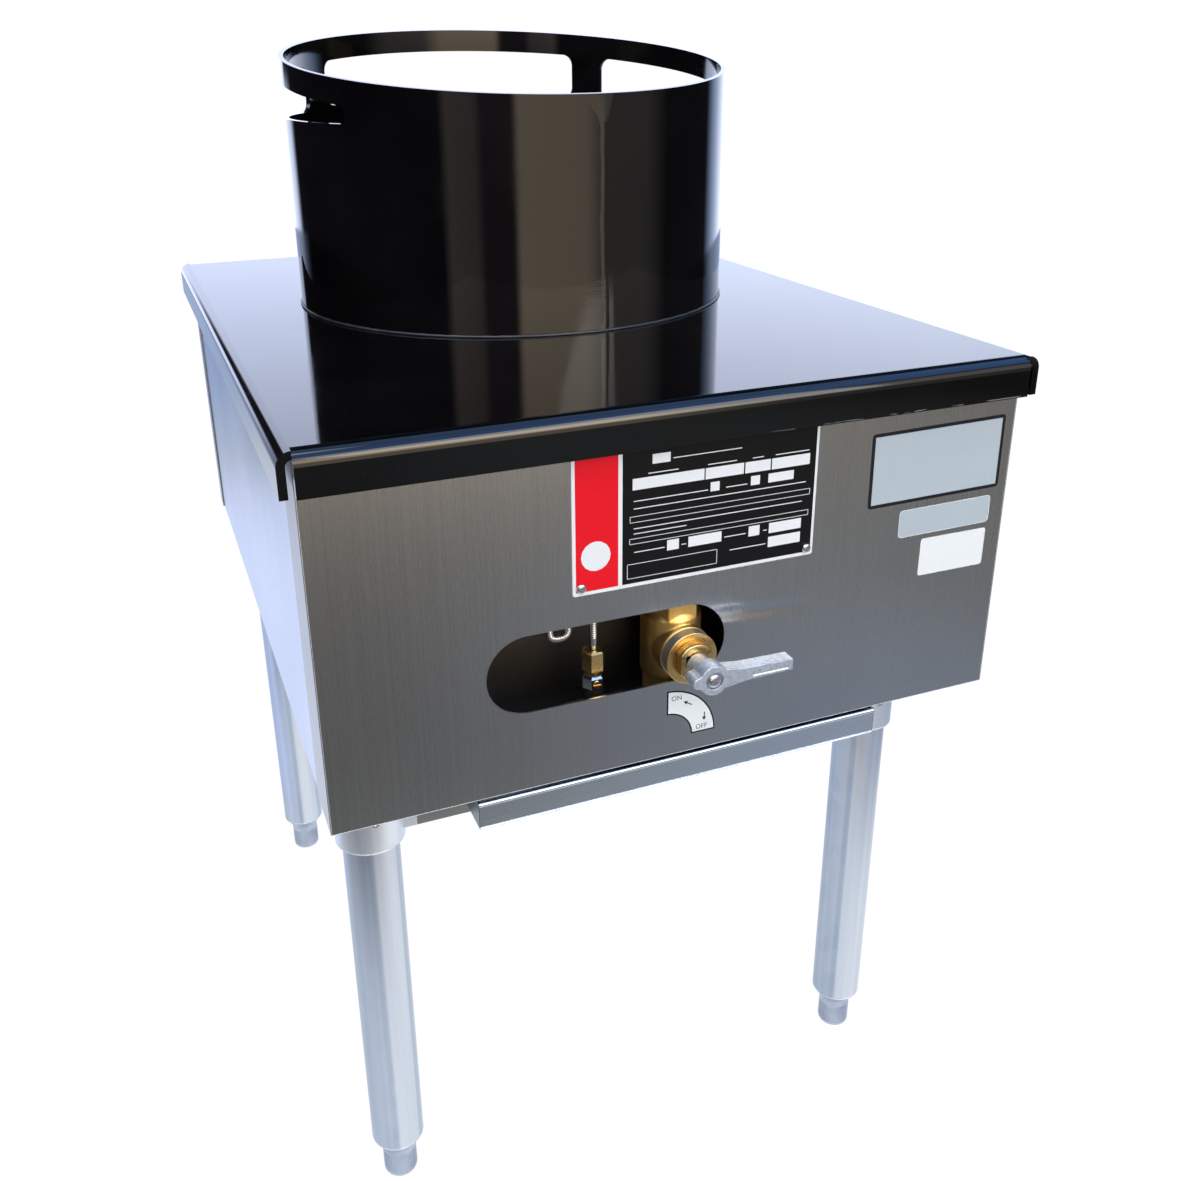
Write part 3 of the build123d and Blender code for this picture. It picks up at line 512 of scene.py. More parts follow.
dressing = {
    "enamelTop": ["top_plate", "ring_weld"],
    "enamelRing": ["wok_ring"],
    "steelFront": ["front_panel"],
    "steelSidePaintedReflection": ["side_panel_left"],
    "steelBack": ["side_panel_right", "back_panel"],
    "steelTray": ["drip_tray", "tray_guide_left", "tray_guide_right"],
    "steelInner": ["baffle_lower", "baffle_upper", "flame_guard", "air_shutter"],
    "plateWhite": ["data_plate"],
    "steelRail": ["base_rail_left", "base_rail_right", "cross_rail_front", "cross_rail_rear", "burner_bars"],
    "galvanised": ["leg_tube_" + corner for corner in corners],
    "socketZinc": ["leg_socket_" + corner for corner in corners],
    "footAlloy": ["foot_insert_" + corner for corner in corners] + ["foot_" + corner for corner in corners],
    "brass": ["valve_body", "valve_ball", "gas_jet"],
    "brassTurned": ["valve_bonnet", "packing_gland", "pilot_neck", "pilot_hex_nut", "pilot_screw"],
    "zincCast": ["lever"],
    "plated": ["lever_screw", "set_screws", "plate_screws", "pilot_valve", "pilot_burner", "pilot_tube"],
    "blackPipe": ["manifold_pipe", "manifold_plug", "inlet_elbow", "inlet_pipe", "riser_pipe", "riser_elbow"],
    "castIron": ["burner", "mixing_tube"],
}
for finishName, dressed in dressing.items():
    for nodeName in dressed:
        for materialSlot in nodes[nodeName].material_slots:
            materialSlot.material = materials[finishName]
print("materials on", sum(len(dressed) for dressed in dressing.values()), "nodes of", len(nodes))


def tile(left, low, right, high, lift, thick, corner=0.0, border=0.0, tilt=0.0):
    # a thin flat piece on the front, in millimetres, its edge faces and rim on the first material
    clearSelection()
    place = ((left + right) / 2 * mm, frontY - lift * mm, (low + high) / 2 * mm)
    bpy.ops.mesh.primitive_plane_add(size=1, location=place, rotation=(math.pi / 2, math.radians(tilt), 0))
    piece = bpy.context.object
    piece.scale = ((right - left) * mm, (high - low) * mm, 1)
    placeApplied(piece)
    takeAll(piece)
    if corner:
        bpy.ops.mesh.bevel(offset=corner * mm, segments=4, affect="VERTICES")
    bpy.ops.mesh.extrude_region_move(TRANSFORM_OT_translate={"value": (0, -thick * mm, 0)})
    outwards(piece)
    if border:
        rimmed(piece, border)
    return piece


def rimmed(piece, border):
    # the front face gets a rim of the first material round the second
    pick(piece, "FACE", lambda face: face.normal.y < -0.9)
    bpy.ops.mesh.inset(thickness=border * mm, depth=0)
    secondFinish(piece)


# the data plate's print, left blank: places in millimetres from the plate's lower left corner
platePrint = {
    "red": (2.0, 2.2, 28.4, 103.0),
    "black": (31.0, 2.2, 158.0, 103.0),
    "disc": (14.4, 23.6, 9.2),
    "fields": [(49.5, 74.6, 60.8, 80.4), (37.2, 60.3, 82.8, 67.2), (83.6, 60.2, 108.8, 67.1),
               (109.8, 60.1, 126.8, 67.0), (127.7, 60.0, 153.8, 66.9), (87.1, 52.2, 93.0, 57.9),
               (113.9, 52.0, 120.0, 57.8), (125.7, 52.0, 143.1, 57.7), (59.6, 19.3, 67.3, 25.9),
               (73.5, 19.2, 95.5, 25.8), (113.9, 19.1, 121.4, 25.7), (127.9, 19.0, 150.3, 25.6),
               (127.7, 9.8, 150.2, 16.6)],
    "frames": [(35.6, 40.3, 155.3, 44.3), (35.4, 26.9, 155.0, 30.5), (34.0, 5.2, 93.0, 14.6)],
    "rules": [(62.5, 76.2, 107), (47, 69.0, 66), (85, 68.9, 104), (114.5, 68.8, 122), (130, 68.7, 153),
              (38, 53.2, 85.5), (97.5, 53.1, 111.5), (38, 48.6, 152), (38, 36.3, 150), (38, 33.1, 72),
              (38.5, 21.5, 58), (69, 21.4, 72), (97.5, 21.3, 112), (124, 21.2, 126.5), (101.5, 12.2, 126)],
    "ruleHeight": 0.55,
    "frameLine": 0.35,
    "inkLift": 0.05,
}


def platePieces():
    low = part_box("data_plate")[0]
    left, bottom = low.x / mm, low.z / mm
    face = (frontY - low.y) / mm
    top = face + platePrint["inkLift"]

    def block(box, lift, thick, corner=0.0):
        return tile(left + box[0], bottom + box[1], left + box[2], bottom + box[3], lift, thick, corner)

    for part, finishName in (("red", "plateRed"), ("black", "plateBlack")):
        settle(block(platePrint[part], face, 0.05), finishName + "Ink", "range", [finishName], 0)
    pale = [block(box, top, 0.05, 0.25) for box in platePrint["fields"]]
    tall = platePrint["ruleHeight"]
    for start, height, end in platePrint["rules"]:
        pale.append(block((start, height, end, height + tall), top, 0.04))
    line = platePrint["frameLine"]
    for a, b, c, d in platePrint["frames"]:
        for box in ((a, b, c, b + line), (a, d - line, c, d), (a, b, a + line, d), (c - line, b, c, d)):
            pale.append(block(box, top, 0.04))
    x, z, radius = platePrint["disc"]
    pale.append(block((x - radius, z - radius, x + radius, z + radius), top, 0.05, radius * 0.999))
    settle(joined("plateWhiteInk", pale), "plateWhiteInk", "range", ["plateWhite"], 0)
    print("data plate print", len(pale), "white fields and lines")


platePieces()

stickers = {
    # name: left, low, right, high, corner, border, tilt, rim finish, face finish
    "stickerTop": (120.6, 517.9, 221.4, 567.4, 2.4, 2.3, -0.6, "labelInk", "labelGrey"),
    "stickerMiddle": (145.9, 494.0, 217.0, 512.9, 2.6, 0.35, -0.5, "labelPaper", "labelGrey"),
    "stickerLow": (164.6, 464.0, 216.0, 490.3, 1.8, 0.3, 0.2, "labelPaper", "labelPaper"),
}
for stickerName, (left, low, right, high, corner, border, tilt, rimFinish, faceFinish) in stickers.items():
    sticker = tile(left, low, right, high, 0, 0.12, corner, border, tilt)
    settle(sticker, stickerName, "range", [rimFinish, faceFinish], 0)

gasLabel = {
    "centre": (-16.3, 383.8),
    "radii": (17.2, 34.1),
    "border": 1.0,
    "thickness": 0.12,
    "words": {"ON": (2.9, 26.6, 4.7), "OFF": (20.4, 2.4, 4.7)},
    "arrows": [((14.6, 22.9), 149, 6.6), ((26.4, 10.9), -92, 6.0)],
    "arrowLine": 0.35,
    "arrowTip": (1.7, 1.6, 2.2),   # radius, and how far before the end its middle and the line's end lie
}


def quarterRing(centre, inner, outer):
    # the upper right quarter of a flat ring that faces the front
    piece = shaped(bpy.ops.mesh.primitive_circle_add, vertices=96, radius=inner, fill_type="NOTHING")
    takeAll(piece)
    bpy.ops.mesh.extrude_region_move()
    bpy.ops.transform.resize(value=(outer / inner, outer / inner, 1))
    pick(piece, "FACE", lambda face: face.center.x < 0 or face.center.y < 0)
    bpy.ops.mesh.delete(type="FACE")
    bpy.ops.object.mode_set(mode="OBJECT")
    piece.rotation_euler = upright
    piece.location = centre
    placeApplied(piece)
    return piece


def gasLabelPieces():
    x, z = gasLabel["centre"]
    inner, outer = gasLabel["radii"]
    thick = gasLabel["thickness"] * mm
    label = quarterRing((x * mm, frontY, z * mm), inner * mm, outer * mm)
    takeAll(label)
    bpy.ops.mesh.extrude_region_move(TRANSFORM_OT_translate={"value": (0, -thick, 0)})
    outwards(label)
    rimmed(label, gasLabel["border"])
    settle(label, "gasLabel", "range", ["labelInk", "labelPaper"], 0)
    ink = []
    for word, (dx, dz, size) in gasLabel["words"].items():
        clearSelection()
        bpy.ops.object.text_add(location=((x + dx) * mm, frontY - thick, (z + dz) * mm), rotation=upright)
        text = bpy.context.object
        text.data.body = word
        text.data.size = size * mm
        text.data.extrude = 0.02 * mm
        text.data.resolution_u = 3
        bpy.ops.object.convert(target="MESH")
        placeApplied(text)
        ink.append(text)
    for (dx, dz), heading, length in gasLabel["arrows"]:
        half, (tip, before, lineEnd) = gasLabel["arrowLine"], gasLabel["arrowTip"]
        shaft = tile(-length / 2, -half, length / 2 - lineEnd, half, 0, 0.03)
        head = shaped(bpy.ops.mesh.primitive_cylinder_add, vertices=3, radius=tip * mm, depth=0.03 * mm,
                      location=((length / 2 - before) * mm, frontY - 0.015 * mm, 0),
                      rotation=(math.pi / 2, math.pi / 2, 0))
        arrow = joined("arrow", [shaft, head])
        turn = Matrix.Rotation(math.radians(-heading), 4, "Y")
        arrow.data.transform(Matrix.Translation(((x + dx) * mm, frontY - thick, (z + dz) * mm)) @ turn
                             @ Matrix.Translation((0, -frontY, 0)))
        ink.append(arrow)
    settle(joined("gasLabelInk", ink), "gasLabelInk", "range", ["labelInk"], 0)


gasLabelPieces()
print("stickers and gas label")

castings = {
    # node: new name, body, slot, voxel, smoothing rounds, finish
    "lever": ("castLever", "gas_lever", "zinc_casting", 0.00035, 3, "zincCast"),
    "valve_body": ("castValveBody", "range", "brass", 0.00060, 4, "brass"),
}
leverFace = {
    "recess": (25.0, 50.0, 2.3, 0.5),   # from, to, half height and depth on the arm, in millimetres
    "seat": (5.5, 1.9),                 # radius and depth of the screw's seat
    "barrel": (7.0, 11.5, 23.5),        # radius, and from where to where behind the face
}


def leverCutters():
    x, y, z = middleOf("lever_screw")
    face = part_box("lever")[0].y
    start, end, half, deep = [value * mm for value in leverFace["recess"]]
    recess = shaped(bpy.ops.mesh.primitive_cube_add, size=1, location=(x + (start + end) / 2, face, z),
                    scale=(end - start, 2 * deep, 2 * half))
    radius, sink = [value * mm for value in leverFace["seat"]]
    seat = frontTurned(48, radius, 2 * sink, (x, face, z))
    inner, start, end = [value * mm for value in leverFace["barrel"]]
    sleeve = shaped(bpy.ops.mesh.primitive_circle_add, vertices=64, radius=inner, fill_type="NOTHING",
                    location=(x, face + start, z), rotation=upright)
    takeAll(sleeve)
    bpy.ops.mesh.extrude_region_move()
    bpy.ops.transform.resize(value=(3, 1, 3), center_override=(x, face + start, z))
    bpy.ops.mesh.select_all(action="SELECT")
    bpy.ops.mesh.extrude_region_move(TRANSFORM_OT_translate={"value": (0, end - start, 0)})
    outwards(sleeve)
    return [recess, seat, sleeve]


def cutOut(piece, cutters):
    for cutter in cutters:
        modifier = piece.modifiers.new("cut", "BOOLEAN")
        modifier.operation = "DIFFERENCE"
        modifier.solver = "EXACT"
        modifier.object = cutter
    applyModifiers(piece)
    for cutter in cutters:
        bpy.data.objects.remove(cutter)


def softenedCasting(nodeName, cutters):
    # a copy of a node with the rounded edges of a casting
    newName, body, slotName, voxel, rounds, finishName = castings[nodeName]
    piece = linked(newName, nodes[nodeName].data.copy())
    outwards(piece)
    if cutters:
        cutOut(piece, cutters)
    remesh = piece.modifiers.new("remesh", "REMESH")
    remesh.mode = "VOXEL"
    remesh.voxel_size = voxel
    smooth = piece.modifiers.new("smooth", "SMOOTH")
    smooth.factor = 0.5
    smooth.iterations = rounds
    applyModifiers(piece)
    settle(piece, newName, body, [finishName], 0)
    smoothed(piece)
    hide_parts(nodeName)
    print(newName, len(piece.data.polygons), "faces")


softenedCasting("lever", leverCutters())
softenedCasting("valve_body", [])

bonnet = {
    "radius": 17.0,
    "edge": 0.5,
    "lip": 0.9,          # bright edge at the front and the back of the dull side
    "sunk": (0.12, 0.25),
    "faceRing": 3.4,
    "faceStep": (0.2, 0.35),   # width and depth
}


def bonnetPiece():
    # a turned cap: dull side between two bright lips, and a stepped brass face
    low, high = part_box("valve_bonnet")
    x, y, z = middleOf("valve_bonnet")
    radius, lip = bonnet["radius"] * mm, bonnet["lip"] * mm
    cap = frontTurned(128, radius, high.y - low.y, (x, y, z))
    pick(cap, "FACE", lambda face: face.normal.y < -0.9)
    turnedStep(bonnet)
    for level in (low.y + lip, high.y - lip):
        bpy.ops.mesh.select_all(action="SELECT")
        bpy.ops.mesh.bisect(plane_co=(0, level, 0), plane_no=(0, 1, 0))
    pick(cap, "FACE", lambda face: low.y + lip < face.center.y < high.y - lip and abs(face.normal.y) < 0.1)
    border, deep = bonnet["sunk"]
    bpy.ops.mesh.inset(thickness=border * mm, depth=-deep * mm)
    secondFinish(cap)

    def outermost(edge):
        return all(math.hypot(cap.data.vertices[i].co.x - x, cap.data.vertices[i].co.z - z) > radius - close
                   for i in edge.vertices)

    ends = [onPlane(cap, 1, level) for level in (low.y, high.y)]
    bevelled(cap, "EDGE", lambda edge: outermost(edge) and any(end(edge) for end in ends),
             bonnet["edge"] * mm, 3)
    settle(cap, "turnedBonnet", "range", ["brassTurned", "bonnetRim"], 40)
    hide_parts("valve_bonnet")


bonnetPiece()

gland = {
    "radius": 12.2,
    "flats": 20.8,
    "thickness": 6.2,
    "edge": 0.7,
    "faceRing": 2.6,
    "faceStep": (0.2, 0.3),   # width and depth
}


def glandPiece():
    # a round nut with two upright flats and a turned front edge
    x, y, z = middleOf("packing_gland")
    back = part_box("packing_gland")[1].y
    thick, half = gland["thickness"] * mm, gland["flats"] / 2 * mm
    nut = frontTurned(96, gland["radius"] * mm, thick, (x, back - thick / 2, z))
    for side in (-1, 1):
        takeAll(nut)
        bpy.ops.mesh.bisect(plane_co=(x + side * half, 0, 0), plane_no=(side, 0, 0), clear_outer=True,
                            use_fill=True)
    bevelled(nut, "EDGE", onPlane(nut, 1, back - thick), gland["edge"] * mm, 3)
    pick(nut, "FACE", lambda face: face.normal.y < -0.99 and abs(face.center.x - x) < 0.002)
    turnedStep(gland)
    bpy.ops.object.mode_set(mode="OBJECT")
    settle(nut, "flattedGland", "range", ["brassTurned"], 30)
    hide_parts("packing_gland")


glandPiece()

crossHeads = {
    # name: places, radius, height, body, nodes that it stands for
    "leverCrossScrew": ([(-4.1, -324.2, 443.0)], 4.3, 1.7, "gas_lever", "lever_screw"),
    "plateCrossScrews": ([(-73.3, -288.3, 499.8), (76.4, -288.3, 499.8)], 3.0, 1.9, "range", "plate_screws"),
}


crossShape = {
    # shares of the head's radius, and for the last two of its height
    "flat": 0.42,
    "raised": 0.16,
    "arm": (1.05, 0.24),
    "armTurn": 0.5,
    "armDepth": 1.1,
    "dome": 0.45,
}


def crossHead(place, radius, height):
    # a domed screw head that faces the front, with a cross sunk into it
    x, y, z = [value * mm for value in place]
    radius, height = radius * mm, height * mm
    head = frontTurned(64, radius, height, (x, y - height / 2, z))
    pick(head, "FACE", lambda face: face.normal.y < -0.9)
    bpy.ops.mesh.inset(thickness=radius * crossShape["flat"], depth=0)
    pick(head, "FACE", lambda face: face.normal.y < -0.9 and abs(face.center.x - x) < radius * 0.4
         and abs(face.center.z - z) < radius * 0.4)
    bpy.ops.transform.translate(value=(0, -radius * crossShape["raised"], 0))

    def outer(edge):
        return all(math.hypot(head.data.vertices[i].co.x - x, head.data.vertices[i].co.z - z) > radius * 0.9
                   for i in edge.vertices)

    front = onPlane(head, 1, y - height)
    bevelled(head, "EDGE", lambda edge: front(edge) and outer(edge), height * crossShape["dome"], 5)
    armLong, armWide = crossShape["arm"]
    arms = [shaped(bpy.ops.mesh.primitive_cube_add, size=1, location=(x, y - height, z),
                   rotation=(0, turn + crossShape["armTurn"], 0),
                   scale=(radius * armLong, height * crossShape["armDepth"], radius * armWide))
            for turn in (0, math.pi / 2)]
    cutOut(head, arms)
    return head


for screwName, (places, radius, height, body, standsFor) in crossHeads.items():
    screw = joined(screwName, [crossHead(place, radius, height) for place in places])
    settle(screw, screwName, body, ["plated"], 30)
    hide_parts(standsFor)

weldBead = {
    "centre": (3.0, 48.0, 606.7),
    "ringRadius": 166.9,
    "beadRadius": 0.95,
    "roughness": 0.8,
    "rippleSize": 0.0035,
}


def roughened(piece, name, size, strength):
    grain = bpy.data.textures.new(name, "CLOUDS")
    grain.noise_scale = size
    grain.noise_depth = 2
    displace = piece.modifiers.new("displace", "DISPLACE")
    displace.texture = grain
    displace.texture_coords = "LOCAL"
    displace.strength = strength
    displace.mid_level = 0.5
    applyModifiers(piece)


bead = shaped(bpy.ops.mesh.primitive_torus_add, major_segments=720, minor_segments=10,
              major_radius=weldBead["ringRadius"] * mm, minor_radius=weldBead["beadRadius"] * mm,
              location=[value * mm for value in weldBead["centre"]])
roughened(bead, "weldRipple", weldBead["rippleSize"], weldBead["roughness"] * mm)
settle(bead, "ringFootWeld", "range", ["enamelWeld"], 0)
smoothed(bead)
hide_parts("ring_weld")

ringSeam = {
    "centre": (3.0, 48.0),
    "radius": 166.6,
    "angle": 274.0,
    "width": 8.0,
    "proud": 0.34,
    "low": 607.4,
    "high": 760.6,
    "wander": 0.25,
    "flareFrom": 0.86,   # share of the height above which the ridge widens
    "flare": 3.2,
    "openAbove": 744.0,
    "columns": 18,
    "rows": 220,
    "sunk": 0.08,
    "grain": (0.007, 0.05),   # size in metres and depth in millimetres
}


def ringSeamPiece():
    # the ring's welded and dressed joint: a low uneven ridge up its front
    seam = ringSeam
    columns = seam["columns"]
    ridge = shaped(bpy.ops.mesh.primitive_grid_add, size=1, x_subdivisions=columns,
                   y_subdivisions=seam["rows"])
    for vertex in ridge.data.vertices:
        across, along = vertex.co.x * 2, vertex.co.y + 0.5
        opening = max(0.0, (along - seam["flareFrom"]) / 0.14)
        flare = 1 + seam["flare"] * opening ** 1.7
        width = seam["width"] * flare * (1 + 0.10 * math.sin(along * 17) + 0.05 * math.sin(along * 41 + 1))
        side = across * width / 2 + seam["wander"] * math.sin(along * 9 + 0.6)
        angle = math.radians(seam["angle"]) + side / seam["radius"]
        crest = math.cos(across * math.pi / 2) ** (2 - opening)
        lift = seam["proud"] * crest * (0.9 + 0.1 * math.sin(along * 31)) * (1 + opening) - seam["sunk"]
        reach = seam["radius"] + lift
        vertex.co = ((seam["centre"][0] + reach * math.cos(angle)) * mm,
                     (seam["centre"][1] + reach * math.sin(angle)) * mm,
                     (seam["low"] + along * (seam["high"] - seam["low"])) * mm)
    grainSize, grainDepth = seam["grain"]
    roughened(ridge, "seamGrain", grainSize, grainDepth * mm)
    settle(ridge, "ringSeamWeld", "range", ["enamelRing", "enamelSeam"], 0)
    smoothed(ridge)
    for place, face in enumerate(ridge.data.polygons):
        inMiddle = 4 < place % columns < columns - 5
        face.material_index = 1 if inMiddle and face.center.z / mm > seam["openAbove"] else 0


ringSeamPiece()
print("welds")

edgeBeads = {
    # straight folded edges, with a painted highlight from their bright finish: name, body, finish, slot,
    # radius and ends in millimetres
    "panelEdges": ("range", "paintedEdgeHighlight", "stainless", 0.6,
                   [((-228.0, 372.0), (228.0, 372.0)), ((-227.9, 372.0), (-227.9, 600)),
                    ((227.9, 372.0), (227.9, 600))], 0.58),
    "trayLipEdge": ("drip_tray", "paintedEdgeHighlight", "stainless", 0.55, [((-140.0, 351.4), (140.0, 351.4))], -0.22),
}
rims = {
    # rounded ends of the tubes and sockets, with the same painted highlight: name, radius, thickness, height
    "socketRims": (22.4, 0.75, 304.75),
    "tubeRims": (18.55, 0.62, 36.55),
}


def beadPieces():
    for name, (body, finishName, slotName, radius, ends, sunk) in edgeBeads.items():
        rods = []
        for (x0, z0), (x1, z1) in ends:
            start, end = Vector((x0, 0, z0)) * mm, Vector((x1, 0, z1)) * mm
            rod = shaped(bpy.ops.mesh.primitive_cylinder_add, vertices=16, radius=radius * mm,
                         depth=(end - start).length)
            rod.rotation_euler = (end - start).to_track_quat("Z", "Y").to_euler()
            rod.location = (start + end) / 2 + Vector((0, frontY + sunk * mm, 0))
            placeApplied(rod)
            rods.append(rod)
        settle(joined(name, rods), name, body, [finishName], 40)
    for name, (radius, thickness, height) in rims.items():
        rings = [shaped(bpy.ops.mesh.primitive_torus_add, major_segments=96, minor_segments=10,
                        major_radius=radius * mm, minor_radius=thickness * mm,
                        location=(*middleOf("leg_tube_" + corner)[:2], height * mm)) for corner in corners]
        settle(joined(name, rings), name, "range", ["paintedEdgeHighlight"], 60)


beadPieces()
print("edges and rims")

footShape = {
    "radius": 12.4,
    "shoulder": 28.0,
    "ribs": 60,
    "ribZone": (3.2, 21.0),
    "ribDepth": 0.35,
    "rounding": (2.4, 5),      # radius and steps
    "topRounding": (0.6, 2),
    "ribEdge": 0.06,
    "stemRadius": 5.0,
    "stemEdge": 0.8,
    "threadDepth": 0.55,
    "pitch": 1.5,
    # a turn's section: inner or outer, and its height as a share of the pitch
    "profile": [("inner", 0.0), ("outer", 0.4), ("inner", 1.0), ("outer", 0.6)],
}


def ribbedFoot(corner):
    foot = footShape
    top = foot["shoulder"] * mm
    body = shaped(bpy.ops.mesh.primitive_cylinder_add, vertices=2 * foot["ribs"], radius=foot["radius"] * mm,
                  depth=top, location=(0, 0, top / 2))
    for level, (rounding, segments) in ((0, foot["rounding"]), (top, foot["topRounding"])):
        bevelled(body, "EDGE", onPlane(body, 2, level), rounding * mm, segments)
    for height in foot["ribZone"]:
        takeAll(body)
        bpy.ops.mesh.bisect(plane_co=(0, 0, height * mm), plane_no=(0, 0, 1))
    start, end = [height * mm for height in foot["ribZone"]]
    step = 180 / foot["ribs"]
    pick(body, "FACE", lambda face: start < face.center.z < end and abs(face.normal.z) < 0.3
         and int(math.degrees(math.atan2(face.center.y, face.center.x)) % 360 // step) % 2)
    bpy.ops.mesh.inset(thickness=foot["ribEdge"] * mm, depth=-foot["ribDepth"] * mm, use_individual=True)
    bpy.ops.object.mode_set(mode="OBJECT")
    stem = threadedStem(top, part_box("foot_" + corner)[1].z)
    piece = joined("foot", [body, stem])
    piece.location = (*middleOf("foot_" + corner)[:2], 0)
    settle(piece, "ribbedFoot_" + corner, "foot_" + corner, ["footAlloy"], 30)
    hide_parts("foot_" + corner)


def threadedStem(low, high):
    # one turn of thread, wound up by the screw modifier, round a core
    foot = footShape
    inner = (foot["stemRadius"] - foot["threadDepth"]) * mm
    reach = {"inner": inner, "outer": foot["stemRadius"] * mm}
    pitch = foot["pitch"] * mm
    turns = int((high - low) / pitch) - 1
    thread = shaped(bpy.ops.mesh.primitive_plane_add, size=pitch)
    for vertex, (place, rise) in zip(thread.data.vertices, foot["profile"]):
        vertex.co = (reach[place], 0, low + rise * pitch)
    pick(thread, "EDGE", lambda edge: set(edge.vertices) == {0, 2})
    bpy.ops.mesh.delete(type="EDGE")
    bpy.ops.object.mode_set(mode="OBJECT")
    screw = thread.modifiers.new("screw", "SCREW")
    screw.screw_offset = pitch
    screw.iterations = turns
    screw.steps = screw.render_steps = 24
    screw.use_merge_vertices = True
    screw.merge_threshold = 0.00001
    applyModifiers(thread)
    core = shaped(bpy.ops.mesh.primitive_cylinder_add, vertices=32, radius=inner + 0.02 * mm,
                  depth=high - low, location=(0, 0, (low + high) / 2))
    bevelled(core, "FACE", lambda face: face.normal.z > 0.9, foot["stemEdge"] * mm, 2)
    stem = joined("stem", [thread, core])
    outwards(stem)
    return stem


for corner in corners:
    ribbedFoot(corner)
print("ribbed feet")

pilotLine = {
    "ribPitch": 1.25,
    "ribRadius": 0.72,
    "tubeRadius": 2.05,
    "sleeveTop": 456.0,
    "sleeveRadius": 2.45,
    "sleeveEdge": 0.5,
    # the hanging loop behind the window, in x and z, then the run to the burner in x, y and z
    "loopBack": -265.5,
    "loop": [(-56.6, 454.0), (-56.6, 470.0), (-56.6, 507.0), (-56.6, 516.5), (-73.0, 516.5), (-73.0, 507.0),
             (-73.0, 468.0), (-73.0, 457.5), (-85.0, 457.5), (-85.0, 468.0), (-85.0, 503.0), (-85.0, 518.0)],
    "run": [(-85.0, -250.0, 518.0), (-85.0, -175.0, 518.0), (-85.0, -155.5, 518.0), (-78.0, -138.0, 518.0),
            (-56.0, -85.0, 518.0), (-45.0, -58.0, 518.0), (-45.0, -58.0, 524.0), (-45.0, -58.0, 531.5)],
}


def pilotLinePiece():
    look = pilotLine
    curveData = bpy.data.curves.new("pilotRoute", "CURVE")
    curveData.dimensions = "3D"
    curveData.resolution_u = 24
    spline = curveData.splines.new("NURBS")
    places = [(x, look["loopBack"], z) for x, z in look["loop"]] + look["run"]
    spline.points.add(len(places) - 1)
    for point, place in zip(spline.points, places):
        point.co = (*[value * mm for value in place], 1)
    spline.order_u = 3
    spline.use_endpoint_u = True
    route = linked("pilotRoute", curveData)
    ribs = shaped(bpy.ops.mesh.primitive_torus_add, major_radius=look["tubeRadius"] * mm,
                  minor_radius=look["ribRadius"] * mm, major_segments=18, minor_segments=8,
                  rotation=(0, math.pi / 2, 0))
    array = ribs.modifiers.new("array", "ARRAY")
    array.fit_type = "FIT_CURVE"
    array.curve = route
    array.use_relative_offset = False
    array.use_constant_offset = True
    array.constant_offset_displace = (look["ribPitch"] * mm, 0, 0)
    follow = ribs.modifiers.new("follow", "CURVE")
    follow.object = route
    follow.deform_axis = "POS_X"
    applyModifiers(ribs)
    x, y = [value * mm for value in places[0][:2]]
    low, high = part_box("pilot_tube")[0].z, look["sleeveTop"] * mm
    sleeve = shaped(bpy.ops.mesh.primitive_cylinder_add, vertices=32, radius=look["sleeveRadius"] * mm,
                    depth=high - low, location=(x, y, (low + high) / 2))
    bevelled(sleeve, "EDGE", onPlane(sleeve, 2, high), look["sleeveEdge"] * mm, 3)
    piece = joined("line", [ribs, sleeve])
    settle(piece, "ribbedPilotLine", "range", ["plated"], 0)
    smoothed(piece)
    bpy.data.objects.remove(route)
    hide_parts("pilot_tube")
    print("pilot line", len(piece.data.polygons), "faces")


pilotLinePiece()


def glowCard(name, strength, add, **settings):
    # a card that shows in reflections and nowhere else
    card = shaped(add, **settings)
    card.name = name
    glow = Finish({"Strength": strength}, glow=True)
    glow.material.name = name
    card.data.materials.clear()
    card.data.materials.append(glow.material)
    card.visible_camera = False
    card.visible_diffuse = False
    card.visible_shadow = False
    card.visible_transmission = False
    return glow


surround = {
    "radius": 3.8,
    "back": 1.2,       # how far its middle lies behind the object
    "height": 5.5,
    "brightTo": 2.6,
    "skyFrom": 2.3,
    "sky": rgba(0.045, 0.098, 0.22),
    "strength": 3.0,
    # each pair is where a change starts and ends: metres of height or depth, or part of a turn
    "cloth": ((0.5, 0.75), (0.031, 0.042), (0.2, 0.25)),
    "clothColour": rgba(0.006, 0.006, 0.009),
    "front": (1.5, 0.5),
    "louder": (2.4, (0.75, 1.1)),
    "above": rgba(0.01, 0.018, 0.035),
    # by heading: 0 behind, a quarter on the left, a half at the front, three quarters on the right
    "stops": [(0.000, (0.54, 0.60, 0.80)), (0.050, (0.54, 0.60, 0.80)), (0.068, (0.004, 0.004, 0.007)),
              (0.356, (0.008, 0.008, 0.012)), (0.367, (0.17, 0.145, 0.13)), (0.403, (0.13, 0.11, 0.105)),
              (0.414, (0.03, 0.025, 0.03)), (0.455, (0.035, 0.025, 0.03)), (0.463, (0.54, 0.44, 0.33)),
              (0.556, (0.50, 0.40, 0.30)), (0.583, (0.13, 0.12, 0.11)), (0.650, (0.11, 0.10, 0.095)),
              (0.690, (0.012, 0.012, 0.014)), (0.794, (0.008, 0.008, 0.010)), (0.816, (0.24, 0.32, 0.52)),
              (0.850, (0.56, 0.63, 0.82)), (0.880, (0.62, 0.69, 0.87)), (1.000, (0.54, 0.60, 0.80))],
}


